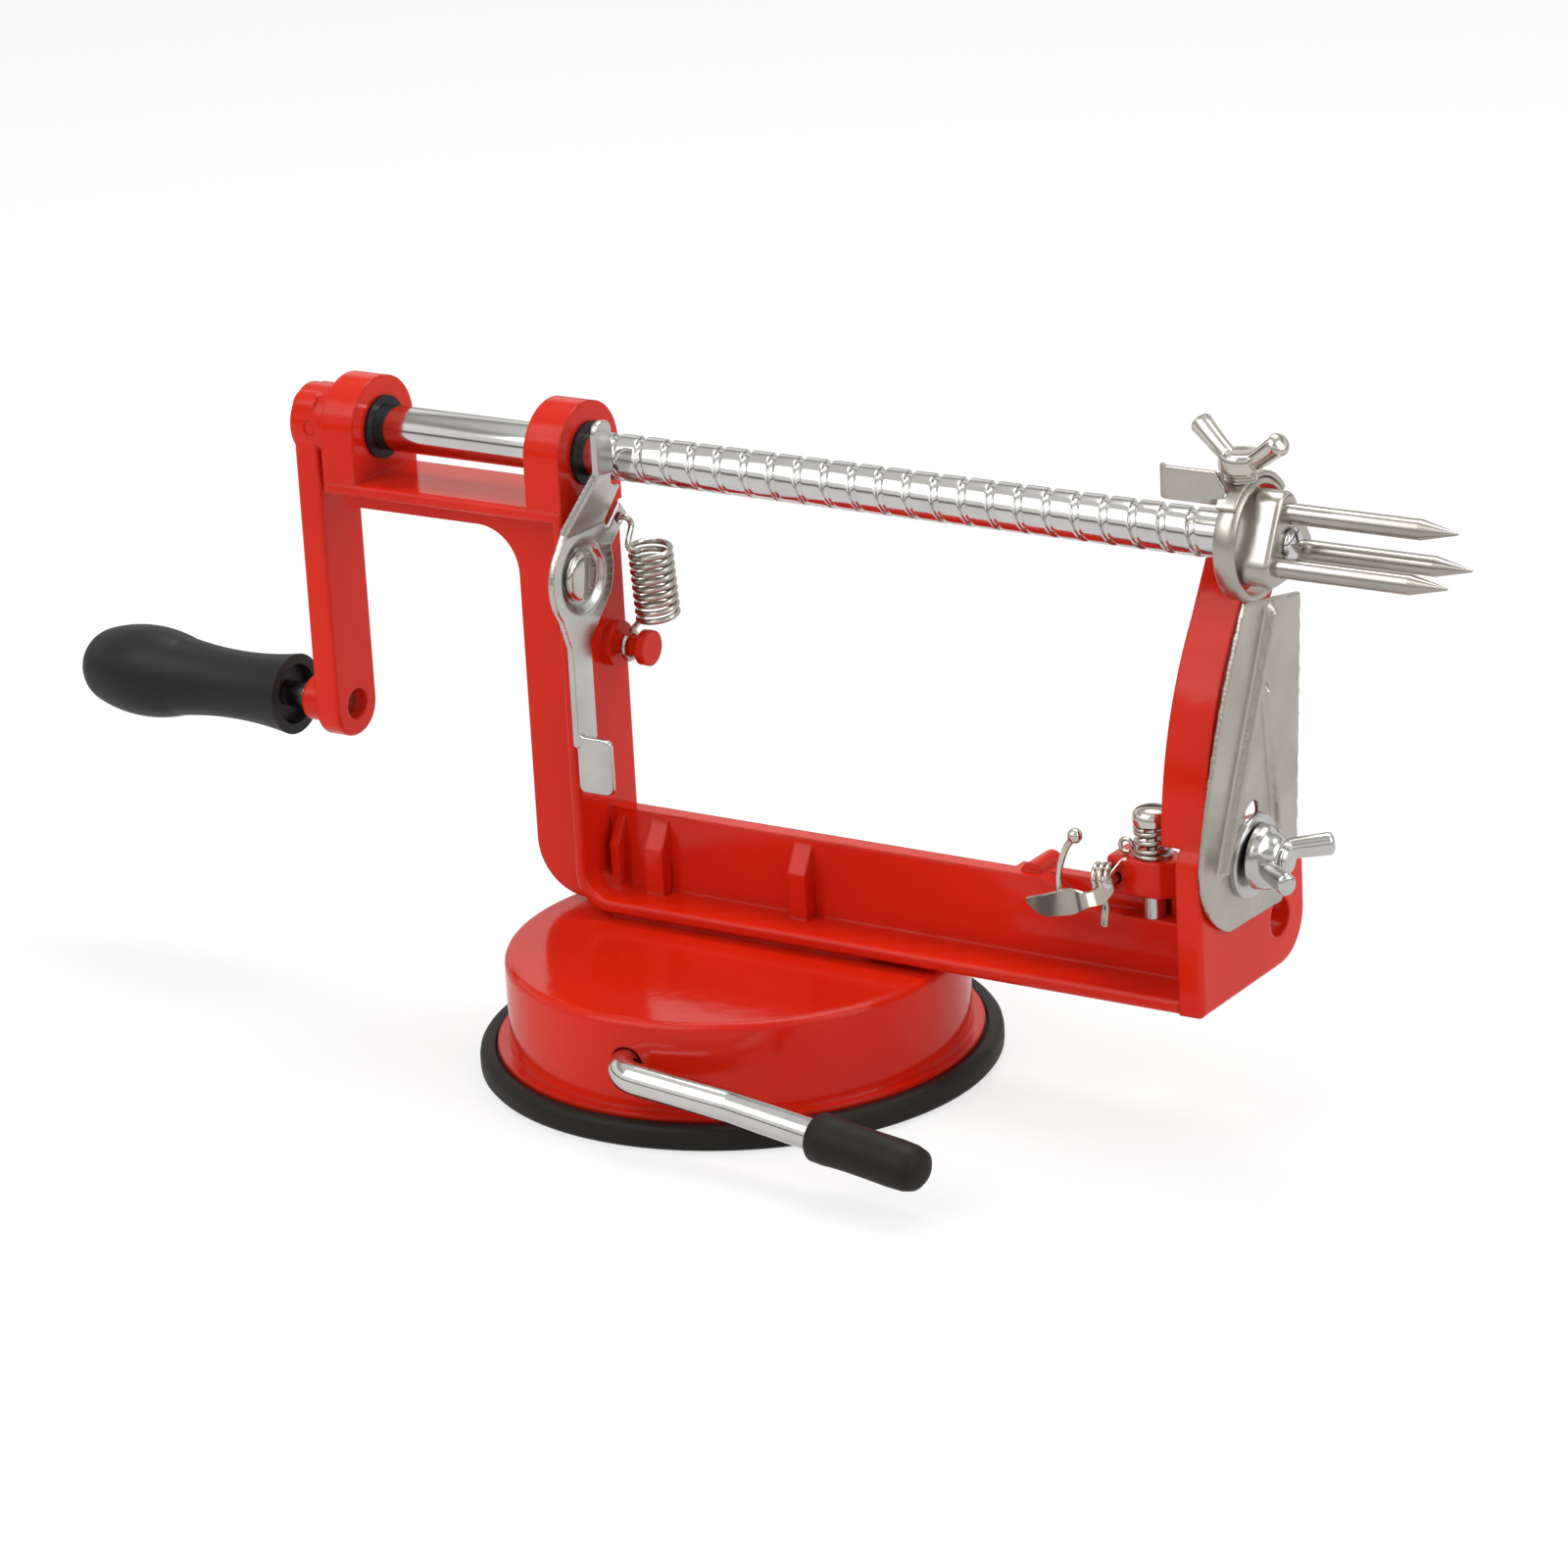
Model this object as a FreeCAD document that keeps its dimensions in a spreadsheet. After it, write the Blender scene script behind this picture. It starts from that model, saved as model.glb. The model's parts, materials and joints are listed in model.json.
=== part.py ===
import FreeCAD, Part
import math
import os
import Sketcher

# Hand cranked apple peeler, in millimetres. X runs along the feed shaft towards the fork, Y to the
# back, Z up. The origin is the middle of the suction pad's underside, on the table.

V = FreeCAD.Vector

# Driving dimensions: the name of each cell, its value and what it measures.
SIZES = [
    ("pad_radius", 56.2, "outer radius of the rubber pad"),
    ("pad_thickness", 4.7, "pad under the cap"),
    ("pad_lip_height", 0.8, "lip round the cap, above the pad"),
    ("pad_lip_gap", 0.3, "gap between that lip and the cap"),
    ("pad_edge", 1.0, "rounding of the pad's rim"),
    ("cap_flange_radius", 52.2, "outer radius of the cap's foot"),
    ("cap_flange_thickness", 1.4, "thickness of the cap's foot"),
    ("cap_radius", 49.6, "outer radius of the cap's wall"),
    ("cap_height", 25.6, "top of the cap above the table"),
    ("cap_wall", 2.0, "wall of the cap"),
    ("cap_corner", 1.8, "rounding of the cap's top edge"),
    ("seat_length", 68.0, "raised seat under the frame, along X"),
    ("seat_front", 0.5, "front of that seat"),
    ("seat_width", 18.0, "depth of that seat"),
    ("seat_height", 1.4, "height of that seat above the cap"),
    ("seat_corner", 4.0, "corner radius of that seat"),
    ("lug_width", 10.0, "bearing lug under the cap, width"),
    ("lug_thickness", 4.5, "bearing lug under the cap, along the rod"),
    ("lug_place", 10.5, "bearing lug, distance behind the middle"),

    ("shaft_y", 10.0, "feed shaft, distance behind the middle of the base"),
    ("shaft_z", 126.5, "feed shaft, height above the table"),
    ("shaft_radius", 5.0, "radius of the feed shaft"),
    ("running_gap", 0.05, "radial gap of a running fit"),
    ("press_gap", 0.01, "radial gap of a fixed fit"),
    ("face_gap", 0.3, "gap between faces that pass each other"),

    ("frame_front", -1.7, "front edge of the frame's flange"),
    ("frame_depth", 22.2, "depth of the frame's flange"),
    ("casting_edge", 1.0, "rounding of the casting's long edges"),
    ("arm_edge", 0.8, "rounding of the crank arm's and the peeler arm's edges"),
    ("column_x", -37.5, "face of the column that looks at the fork"),
    ("column_flange", 2.5, "thickness of the column's flange"),
    ("column_web_width", 14.0, "width of the column's web"),
    ("column_web_front", 5.0, "front of the column's web"),
    ("column_web_thickness", 7.0, "thickness of the column's web"),
    ("column_foot_radius", 12.0, "outer corner at the foot of the column"),
    ("lip_outer_radius", 8.0, "flange corner, outside"),
    ("lip_inner_radius", 5.5, "flange corner, inside"),
    ("beam_flange", 2.9, "thickness of the beam's flange"),
    ("beam_web_front", 9.5, "front of the beam's web"),
    ("beam_web_thickness", 4.0, "thickness of the beam's web"),
    ("beam_web_height", 17.3, "beam's web above its flange"),
    ("window_start", 70.0, "start of the slope down to the peeler window"),
    ("window_floor_start", 80.0, "end of that slope"),
    ("window_depth", 5.2, "depth of the peeler window"),
    ("back_wall_start", 62.0, "wall behind the peeler, left end"),
    ("back_wall_step", 84.0, "place at which that wall steps down"),
    ("back_wall_thickness", 3.2, "thickness of that wall"),
    ("back_wall_drop", 0.5, "lower part of that wall, below the peeler arm"),
    ("rib_width", 4.6, "screw rib, width"),
    ("rib_depth", 3.5, "screw rib, in front of the web"),
    ("rib_height", 16.1, "screw rib, height above the flange"),
    ("rib_slope", 6.0, "height of the rib's sloping top"),
    ("first_rib_x", -24.5, "first screw rib"),
    ("second_rib_x", 12.0, "second screw rib"),
    ("corner_rib_x", -34.5, "plain rib at the foot of the column"),
    ("rear_boss_x", 66.9, "round bar behind the web"),
    ("rear_boss_radius", 2.5, "radius of that bar"),
    ("rear_boss_height", 16.9, "middle of that bar above the flange"),
    ("arm_top", 116.3, "top of the upper arm"),
    ("arm_flange", 2.8, "thickness of the upper arm's flange"),
    ("arm_web_height", 4.5, "upper arm's web below its flange"),
    ("arm_end_radius", 6.0, "rounded end of the upper arm's web"),
    ("arm_corner_radius", 10.0, "corner between the upper arm and the column"),
    ("boss_radius", 11.3, "radius of both shaft bosses"),
    ("left_boss_x", -100.0, "outer face of the crank boss"),
    ("left_boss_length", 8.5, "length of the crank boss"),
    ("column_boss_length", 9.0, "length of the column boss"),
    ("bush_radius", 6.4, "outer radius of the bush in its boss"),
    ("bush_flange_radius", 6.9, "radius of the bush's flange"),
    ("bush_flange_thickness", 0.8, "thickness of the bush's flange"),
    ("wall_x", 108.5, "inner face of the end wall"),
    ("wall_thickness", 5.5, "thickness of the end wall"),
    ("wall_height", 37.4, "top of the end wall above the beam's underside"),
    ("wall_rear_y", 34.0, "end wall, rear shoulder"),
    ("wall_rear_drop", 4.9, "rear shoulder below the front one"),
    ("wall_front_corner", 6.0, "rounding of the wall's front corner"),
    ("wall_rear_corner", 10.0, "rounding of the wall's rear shoulder"),
    ("ear_y", 31.7, "bore in the end wall, Y"),
    ("ear_height", 10.8, "bore in the end wall, above the beam's underside"),
    ("ear_radius", 11.0, "radius of the ear round that bore"),
    ("ear_bore", 4.2, "radius of that bore"),
    ("post_x", 104.0, "rear post, inner face"),
    ("post_depth", 12.0, "rear post, front to back"),
    ("post_base_y", 0.9, "rear post, front face at its foot"),
    ("post_base_height", 35.0, "foot of the rear post above the beam's underside"),
    ("post_bend_y", 16.0, "rear post, front face where it straightens"),
    ("post_bend_height", 79.0, "height of that place"),
    ("post_bulge_y", 4.6, "rear post, front face half way up its curve"),
    ("post_bulge_height", 57.0, "height of that place"),
    ("post_top_y", 28.0, "rear post, front of its top"),
    ("post_top_height", 98.0, "top of the rear post"),
    ("post_corner", 4.0, "rounding of the post's top"),

    ("stud_y", 14.0, "spring stud, Y"),
    ("stud_z", 83.1, "spring stud, height"),
    ("stud_root_radius", 5.0, "root of the stud"),
    ("stud_root_length", 2.5, "length of the root"),
    ("stud_neck_radius", 2.2, "neck of the stud"),
    ("stud_neck_length", 6.0, "length of the neck"),
    ("stud_head_radius", 3.9, "head of the stud"),
    ("stud_head_length", 2.0, "length of the head"),

    ("thread_pitch", 6.6, "feed per turn of the crank"),
    ("thread_turns", 22.0, "turns of the groove"),
    ("thread_start", -31.35, "start of the groove"),
    ("groove_width", 1.9, "groove at the shaft's surface"),
    ("groove_floor", 1.2, "groove at its floor"),
    ("groove_depth", 0.75, "depth of the groove"),
    ("shaft_left_radius", 4.0, "shaft inside the crank's hub"),
    ("shaft_spigot_radius", 3.2, "shaft inside the fork's hub"),
    ("shaft_spigot_length", 5.6, "length of that spigot"),

    ("crank_hub_radius", 8.0, "radius of the crank's hub"),
    ("crank_hub_length", 10.3, "length of the crank's hub"),
    ("crank_arm_thickness", 6.2, "thickness of the crank's arm"),
    ("crank_arm_width", 14.5, "width of the crank's arm"),
    ("crank_throw", 65.2, "shaft to handle"),
    ("crank_pin_radius", 1.5, "pin through the crank's hub"),
    ("handle_boss_radius", 5.0, "boss between the arm and the handle"),
    ("handle_boss_length", 5.4, "length of that boss"),
    ("spindle_radius", 2.95, "radius of the handle's spindle"),
    ("spindle_showing", 5.3, "spindle between the boss and the grip"),
    ("spindle_cover", 4.0, "grip left over the spindle's end"),
    ("spindle_foot_radius", 3.5, "spindle in the crank's arm"),
    ("grip_length", 58.7, "length of the grip"),
    ("grip_end_radius", 9.1, "grip at the crank's end"),
    ("grip_waist_radius", 7.7, "grip at its waist"),
    ("grip_waist_place", 17.5, "waist from the crank's end"),
    ("grip_swell_radius", 8.9, "grip where the waist turns into the belly"),
    ("grip_swell_back", 27.7, "that place from the round end"),
    ("grip_belly_radius", 10.4, "grip at its belly"),
    ("grip_belly_back", 16.2, "belly from the round end"),
    ("grip_shoulder_radius", 8.6, "grip where its round end starts"),
    ("grip_shoulder_back", 6.4, "that place from the round end"),
    ("grip_tip_radius", 5.2, "grip half way round its end"),
    ("grip_tip_back", 1.7, "that place from the round end"),
    ("clip_recess_radius", 6.8, "recess for the retaining clip"),
    ("clip_recess_depth", 3.4, "depth of that recess"),
    ("clip_thickness", 1.1, "thickness of the retaining clip"),
    ("clip_groove_depth", 0.5, "groove in the spindle for the clip"),

    ("fork_x", 121.5, "rear face of the fork's hub"),
    ("fork_length", 8.7, "length of the fork's hub"),
    ("fork_corner", 4.4, "rounded corner round each prong"),
    ("prong_circle", 6.3, "shaft axis to each prong"),
    ("prong_radius", 2.1, "radius of each prong"),
    ("prong_reach", 36.9, "prong tips from the hub's face"),
    ("prong_tip", 7.9, "length of each prong's point"),
    ("prong_tip_radius", 0.25, "flat left at each point"),
    ("prong_root", 6.0, "prong inside the hub"),
    ("first_prong_angle", 93.0, "first prong, from the back towards the top"),
    ("fork_screw_radius", 1.6, "shank of the fork's screw"),
    ("fork_screw_length", 12.0, "length of that shank"),
    ("fork_screw_head", 3.4, "radius of its head"),
    ("fork_screw_head_length", 1.6, "height of its head"),

    ("ring_back", 2.1, "coring ring's rear edge behind the fork's hub"),
    ("ring_length", 4.6, "length of the coring ring"),
    ("ring_inner", 11.2, "inner radius of the coring ring"),
    ("ring_wall", 1.4, "wall of the coring ring"),
    ("strap_thickness", 1.2, "sheet of the strap"),
    ("strap_crown_back", 3.8, "strap over the ring, rear of the ring's rear edge"),
    ("strap_crown_length", 8.0, "strap over the ring, length"),
    ("strap_crown_start", 35.0, "strap over the ring, from the back"),
    ("strap_crown_end", 140.0, "strap over the ring, to the front"),
    ("strap_wall_y", 0.8, "front of the strap's upright wall"),
    ("strap_wall_reach", 14.0, "left end of that wall, from the ring's rear edge"),
    ("strap_wall_overlap", 1.2, "wall's right end beyond the ring's rear edge"),
    ("strap_wall_bottom", 9.0, "foot of that wall above the shaft"),
    ("strap_wall_height", 6.9, "height of that wall"),
    ("strap_curl", 2.4, "outer radius of the wall's curled end"),
    ("wing_screw_place", 1.9, "wing screw from the ring's rear edge"),
    ("wing_screw_y", 6.8, "wing screw, Y"),
    ("wing_screw_radius", 1.6, "shank of the wing screw"),
    ("wing_screw_collar", 3.0, "threaded collar under the wing screw"),
    ("wing_screw_lift", 0.75, "wings above the strap"),
    ("wing_hub_radius", 3.9, "hub of the wing screw"),
    ("wing_hub_height", 5.5, "height of that hub"),
    ("wing_rod_radius", 2.1, "radius of each wing"),
    ("wing_rod_length", 12.4, "length of each wing"),
    ("wing_rod_start", 2.0, "wing's root from the axis"),
    ("wing_rod_height", 3.0, "wing's root above the hub's foot"),
    ("wing_rod_angle", 25.0, "rise of each wing"),
    ("wing_screw_turn", -20.0, "how the wing screw stands"),

    ("plate_thickness", 1.2, "slicing plate"),
    ("plate_lean", 4.3, "lean of the plate"),
    ("plate_gap", 0.1, "plate clear of the end wall at its foot"),
    ("plate_foot_z", 42.0, "lowest edge of the plate"),
    ("plate_top_z", 113.4, "top of the plate at its cutting edge"),
    ("plate_rear_top_z", 109.0, "top of the plate at its rear edge"),
    ("plate_edge_top_y", 8.8, "cutting edge at the top"),
    ("plate_edge_mid_y", 0.2, "cutting edge at a third of its height"),
    ("plate_edge_mid_z", 89.9, "that place"),
    ("plate_edge_low_y", -5.2, "cutting edge at its foremost"),
    ("plate_edge_low_z", 60.2, "that place"),
    ("plate_foot_y", 8.0, "cutting edge where it joins the foot"),
    ("plate_foot_corner_y", 30.5, "rear of the foot"),
    ("plate_rear_low_y", 36.5, "rear edge near the foot"),
    ("plate_rear_low_z", 50.0, "that place"),
    ("plate_rear_top_y", 32.5, "rear edge at the top"),
    ("plate_rib_width", 2.4, "pressed rib"),
    ("plate_rib_height", 0.6, "height of the pressed rib"),
    ("plate_rib_low_y", 3.0, "foot of the pressed rib"),
    ("plate_rib_low_z", 57.5, "height of that place"),
    ("plate_rib_top_y", 18.9, "top of the pressed rib"),
    ("plate_crease_width", 1.2, "second, thin rib"),
    ("plate_crease_low_y", 27.0, "foot of the thin rib"),
    ("plate_crease_top_y", 18.8, "top of the thin rib"),
    ("plate_crease_top_z", 92.0, "height of that place"),
    ("plate_heel_y", -1.3, "cutting edge between its foremost place and the foot"),
    ("plate_heel_z", 50.0, "height of that place"),
    ("plate_heel_rise", 0.8, "cutting edge's end above the plate's foot"),
    ("plate_slot_half", 2.8, "half width of the slot for the bolt"),
    ("plate_slot_top", 69.0, "upper end of that slot"),
    ("bolt_y", 15.4, "bolt through the end wall, Y"),
    ("bolt_z", 57.3, "bolt through the end wall, height"),
    ("bolt_radius", 2.5, "radius of that bolt"),
    ("bolt_head_radius", 4.6, "radius of its head"),
    ("bolt_head_length", 2.4, "height of its head"),
    ("bolt_reach", 15.5, "bolt beyond the end wall"),
    ("washer_radius", 9.0, "washer on the plate"),
    ("washer_thickness", 1.4, "thickness of that washer"),
    ("nut_foot_radius", 6.8, "wing nut at its foot"),
    ("nut_radius", 5.0, "wing nut at its top"),
    ("nut_height", 7.0, "height of the wing nut's hub"),
    ("nut_wing_length", 11.0, "length of each wing of the nut"),
    ("nut_wing_angle", 58.0, "rise of each wing of the nut"),
    ("nut_turn", -96.0, "how the wing nut stands"),

    ("lever_sheet", 1.5, "sheet of the catch lever"),
    ("lever_gap", 1.4, "lever clear of the column"),
    ("pivot_y", 1.5, "catch lever's pivot, Y"),
    ("pivot_z", 101.8, "catch lever's pivot, height"),
    ("pivot_screw_radius", 2.0, "shank of the pivot screw"),
    ("pivot_screw_head", 5.5, "radius of the pivot screw's head"),
    ("pivot_screw_head_length", 1.8, "height of that head"),
    ("pivot_screw_length", 4.2, "length of the screw's shank"),
    ("lever_body_radius", 11.5, "round body of the lever"),
    ("lever_dish_radius", 8.2, "dish in that body, at its rim"),
    ("lever_dish_floor", 6.3, "flat floor of the dish"),
    ("lever_dish_depth", 1.2, "depth of the dish"),
    ("lever_shank_front", 6.1, "shank's front edge, before the pivot"),
    ("lever_shank_width", 7.5, "width of the shank"),
    ("lever_shank_drop", 36.5, "foot of the shank below the pivot"),
    ("lever_taper_drop", 14.6, "place below the pivot at which the shank widens"),
    ("lever_taper_rear", -53.0, "shank's rear edge meets the body"),
    ("lever_taper_front", -140.0, "shank's front edge meets the body"),
    ("lever_tab_inset", 0.6, "thumb tab behind the shank's front edge"),
    ("lever_tab_drop", 46.8, "foot of the thumb tab below the pivot"),
    ("lever_tab_height", 12.6, "height of the thumb tab"),
    ("lever_tab_width", 8.7, "width of the thumb tab"),
    ("lever_tab_corner", 1.6, "rounded corners of the thumb tab"),
    ("lever_neck_front", 6.3, "neck's front edge, before the pivot"),
    ("lever_neck_rear", 8.9, "neck's rear edge, behind the pivot"),
    ("lever_neck_from_front", 148.0, "neck's front edge leaves the body"),
    ("lever_neck_from_rear", 30.0, "neck's rear edge leaves the body"),
    ("lever_neck_root", 9.8, "middle of the neck's root above the pivot"),
    ("lever_bend_rise", 10.6, "bend of the neck above the pivot"),
    ("lever_lean_rise", 24.0, "end of the neck's lean above the pivot"),
    ("lever_shaft_gap", 1.0, "neck clear of the shaft"),
    ("lever_head_front", 3.0, "head's front edge, before the pivot"),
    ("lever_head_rise", 35.0, "top of the head above the pivot"),
    ("lever_head_gap", 0.4, "head clear of the shaft"),
    ("lever_head_corner", 2.4, "rounded corners of the head"),
    ("lever_ear_root_y", 8.4, "root of the ear behind the pivot"),
    ("lever_ear_root_rise", 4.4, "root of the ear above the pivot"),
    ("lever_ear_reach", 7.4, "ear's hole from its root"),
    ("lever_ear_tip", 2.8, "ear beyond its hole"),
    ("lever_ear_angle", 40.0, "rise of the ear"),
    ("lever_ear_half", 2.2, "half width of the ear"),
    ("lever_ear_hole", 1.1, "hole in the ear"),
    ("tooth_gap", 0.25, "tooth clear of the groove's floor"),
    ("tooth_height", 1.6, "tooth, up and down"),

    ("catch_wire", 1.3, "wire of the catch spring"),
    ("catch_coil_radius", 4.4, "catch spring, middle of the wire"),
    ("catch_pitch", 1.8, "catch spring, pitch"),
    ("catch_quarters", 36, "catch spring, quarter turns"),
    ("catch_spring_x", -28.5, "catch spring, X"),
    ("catch_spring_y", 18.4, "catch spring, Y"),
    ("catch_spring_z", 88.3, "foot of the coil"),
    ("catch_hook_lead", 2.4, "straight wire between the coil and a hook, in wires"),
    ("catch_hook_bend", 1.4, "bend of that wire, in wires"),

    ("peeler_x", 95.8, "peeler's pivot, X"),
    ("peeler_y", 12.0, "peeler's pivot, Y"),
    ("spacer_radius", 2.4, "spacer under the peeler arm"),
    ("spacer_height", 4.9, "height of that spacer"),
    ("post_gap", 0.9, "wall behind the peeler clear of that spacer"),
    ("arm_height", 8.2, "height of the peeler arm"),
    ("arm_front_y", 8.0, "front of the peeler arm"),
    ("arm_left_x", 86.6, "left end of the peeler arm"),
    ("arm_front_right_x", 98.8, "end of the arm's front face"),
    ("arm_right_x", 103.2, "right end of the peeler arm"),
    ("arm_rear_y", 17.2, "rear of the peeler arm"),
    ("arm_corner", 1.2, "rounding of the peeler arm"),
    ("peeler_screw_radius", 1.5, "peeler's pivot screw"),
    ("peeler_screw_head", 4.2, "radius of its head"),
    ("peeler_screw_head_length", 4.0, "height of its head"),
    ("peeler_screw_grip", 9.0, "screw in the frame"),
    ("peeler_wire", 1.0, "wire of the pivot spring"),
    ("peeler_coil_radius", 3.6, "pivot spring, middle of the wire"),
    ("peeler_pitch", 1.45, "pivot spring, pitch"),
    ("peeler_quarters", 16, "pivot spring, quarter turns"),
    ("blade_left_x", 69.5, "left end of the blade"),
    ("blade_right_x", 90.8, "right end of the blade"),
    ("blade_y", 3.4, "front of the blade"),
    ("blade_sheet", 0.8, "sheet of the blade"),
    ("blade_foot_z", 44.4, "lower edge of the blade"),
    ("blade_height", 6.0, "height of the blade"),
    ("blade_lug_height", 4.6, "lug above the blade"),
    ("blade_lug_width", 5.4, "width of that lug"),
    ("blade_pin_x", 89.0, "blade's pin, X"),
    ("blade_pin_z", 50.6, "blade's pin, height"),
    ("blade_pin_radius", 1.3, "radius of the blade's pin"),
    ("blade_pin_head", 2.2, "radius of its head"),
    ("blade_pin_head_length", 0.9, "height of its head"),
    ("blade_pin_grip", 3.0, "pin in the peeler arm"),
    ("blade_spring_wire", 0.9, "wire of the blade's spring"),
    ("blade_spring_radius", 2.5, "blade's spring, middle of the wire"),
    ("blade_spring_pitch", 1.35, "blade's spring, pitch"),
    ("blade_spring_quarters", 7, "blade's spring, quarter turns"),
    ("guide_wire", 1.0, "wire of the blade's guide"),
    ("guide_ball", 1.65, "ball on the end of the guide"),
    ("guide_reach", 16.1, "guide above the blade"),
    ("guide_lean", 4.1, "guide's ball to the right of its foot"),
    ("guide_x", 78.4, "foot of the guide"),
    ("guide_foot_reach", 3.0, "guide's foot along the blade"),
    ("guide_foot_rise", 3.2, "guide's foot above the blade's lower edge"),
    ("guide_bow", 0.3, "guide where it starts to lean, to the right of its foot"),
    ("guide_bow_rise", 10.5, "height of that place above the blade's lower edge"),

    ("rod_turn", 5.0, "how the suction lever stands"),
    ("rod_radius", 3.4, "radius of the suction lever's rod"),
    ("rod_z", 15.9, "suction lever's axis above the table"),
    ("rod_bend_y", 55.0, "rod's bend, in front of the middle"),
    ("rod_hole_gap", 0.3, "rod clear of the cap"),
    ("rod_knee_x", 27.8, "rod's first knee"),
    ("rod_knee_y", 56.7, "rod's first knee"),
    ("rod_knee_drop", 2.7, "rod's first knee"),
    ("rod_end_x", 50.5, "rod where the sleeve starts"),
    ("rod_end_y", 61.8, "rod where the sleeve starts"),
    ("rod_end_drop", 4.0, "rod where the sleeve starts"),
    ("rod_bend_radius", 6.0, "rod's bend at the cap"),
    ("sleeve_radius", 4.8, "radius of the sleeve"),
    ("sleeve_length", 27.0, "length of the sleeve"),
    ("sleeve_grip", 22.0, "rod inside the sleeve"),
    ("sleeve_flare", 0.5, "sleeve's swollen end"),
    ("cam_disc_radius", 5.2, "discs of the crank pin"),
    ("cam_disc_length", 3.0, "thickness of those discs"),
    ("cam_pin_radius", 2.2, "crank pin"),
    ("cam_pin_half", 6.4, "half length of the crank pin"),
    ("cam_throw", 2.5, "crank pin off the rod's axis"),
    ("cam_journal_radius", 2.8, "journal in the cap's lug"),
    ("stud_plate_radius", 13.0, "pad stud's plate"),
    ("stud_plate_thickness", 2.0, "thickness of that plate"),
    ("yoke_width", 15.0, "pad stud's yoke, along X"),
    ("yoke_depth", 10.0, "pad stud's yoke, along Y"),
    ("yoke_wall", 1.6, "yoke above its window"),
    ("yoke_play", 0.7, "crank pin's play in the yoke"),

    ("frame_screw_radius", 2.0, "screws that hold the frame"),
    ("frame_screw_head", 3.6, "radius of their heads"),
    ("frame_screw_head_length", 2.4, "height of their heads"),
    ("frame_screw_grip", 9.0, "screw in the frame"),
    ("frame_washer_radius", 4.4, "radius of their washers"),
    ("frame_washer_thickness", 0.8, "thickness of their washers"),
]


class Length:
    """A size as a number together with the sheet expression that gives it."""

    def __init__(self, value, text=None):
        self.number = float(value)
        self.text = text or repr(float(value))

    def __add__(self, other):
        other = as_length(other)
        return Length(self.number + other.number, "(%s + %s)" % (self.text, other.text))

    def __sub__(self, other):
        other = as_length(other)
        return Length(self.number - other.number, "(%s - %s)" % (self.text, other.text))

    def __mul__(self, other):
        other = as_length(other)
        return Length(self.number * other.number, "(%s * %s)" % (self.text, other.text))

    def __truediv__(self, other):
        other = as_length(other)
        return Length(self.number / other.number, "(%s / %s)" % (self.text, other.text))

    def __radd__(self, other):
        return as_length(other) + self

    def __rsub__(self, other):
        return as_length(other) - self

    def __rmul__(self, other):
        return as_length(other) * self

    def __neg__(self):
        return Length(-self.number, "(0 - %s)" % self.text)


def as_length(value):
    """A plain number as a Length; a Length stays as it is."""
    return value if isinstance(value, Length) else Length(value)


def sine(angle):
    """Sine of an angle in degrees."""
    angle = as_length(angle)
    return Length(math.sin(math.radians(angle.number)), "sin(%s)" % angle.text)


def cosine(angle):
    """Cosine of an angle in degrees."""
    angle = as_length(angle)
    return Length(math.cos(math.radians(angle.number)), "cos(%s)" % angle.text)


class Sizes:
    """Every driving dimension, by name, tied to its cell in the sheet."""

    def __init__(self, document):
        sheet = document.addObject("Spreadsheet::Sheet", "sizes")
        for row, (name, value, note) in enumerate(SIZES, start=1):
            sheet.set("A%d" % row, name)
            sheet.set("B%d" % row, str(value))
            sheet.set("C%d" % row, note)
            sheet.setAlias("B%d" % row, name)
        document.recompute()
        for name, value, note in SIZES:
            setattr(self, name, Length(sheet.get(name), "sizes." + name))


doc = FreeCAD.newDocument("apple_peeler")
s = Sizes(doc)
nodes = []

# Places that several pieces share
beam_foot = s.cap_height + s.seat_height
beam_floor = beam_foot + s.beam_flange
beam_web_top = beam_floor + s.beam_web_height
window_floor = beam_web_top - s.window_depth
frame_rear = s.frame_front + s.frame_depth
column_back = s.column_x - s.column_flange
web_outer = column_back - s.column_web_width
arm_web_foot = s.arm_top - s.arm_flange - s.arm_web_height
column_boss_x = s.column_x - s.column_boss_length
wall_face = s.wall_x + s.wall_thickness
crank_hub_right = s.left_boss_x - s.face_gap
crank_hub_left = crank_hub_right - s.crank_hub_length
handle_z = s.shaft_z - s.crank_throw
handle_boss_left = crank_hub_left - s.handle_boss_length
grip_right = handle_boss_left - s.spindle_showing
fork_face = s.fork_x + s.fork_length
lever_back = s.column_x + s.lever_gap
lever_face = lever_back + s.lever_sheet
dish_back = lever_back - s.lever_dish_depth
dish_face = lever_face - s.lever_dish_depth
ear_y = s.pivot_y + s.lever_ear_root_y + s.lever_ear_reach * cosine(s.lever_ear_angle)
ear_z = s.pivot_z + s.lever_ear_root_rise + s.lever_ear_reach * sine(s.lever_ear_angle)
tooth_x = s.thread_start + s.thread_pitch / 2
spacer_top = window_floor + s.spacer_height
arm_ceiling = spacer_top + s.arm_height
ring_outer = s.ring_inner + s.ring_wall
ring_x = s.fork_x - s.ring_back
wing_screw_x = ring_x + s.wing_screw_place
cap_ceiling = s.cap_height - s.cap_wall
rib_middle_y = s.beam_web_front + (s.beam_web_thickness - s.rib_depth) / 2
PLANES = {"X": "YZ_Plane", "Y": "XZ_Plane", "Z": "XY_Plane"}


class Arc:
    """The part of an outline that goes round through one place and ends at another."""

    def __init__(self, through, to):
        self.through = through
        self.to = to


def end_of(item):
    return item.to if isinstance(item, Arc) else item


def point(place):
    """A place in a sketch as a vector."""
    return V(as_length(place[0]).number, as_length(place[1]).number, 0)


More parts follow.
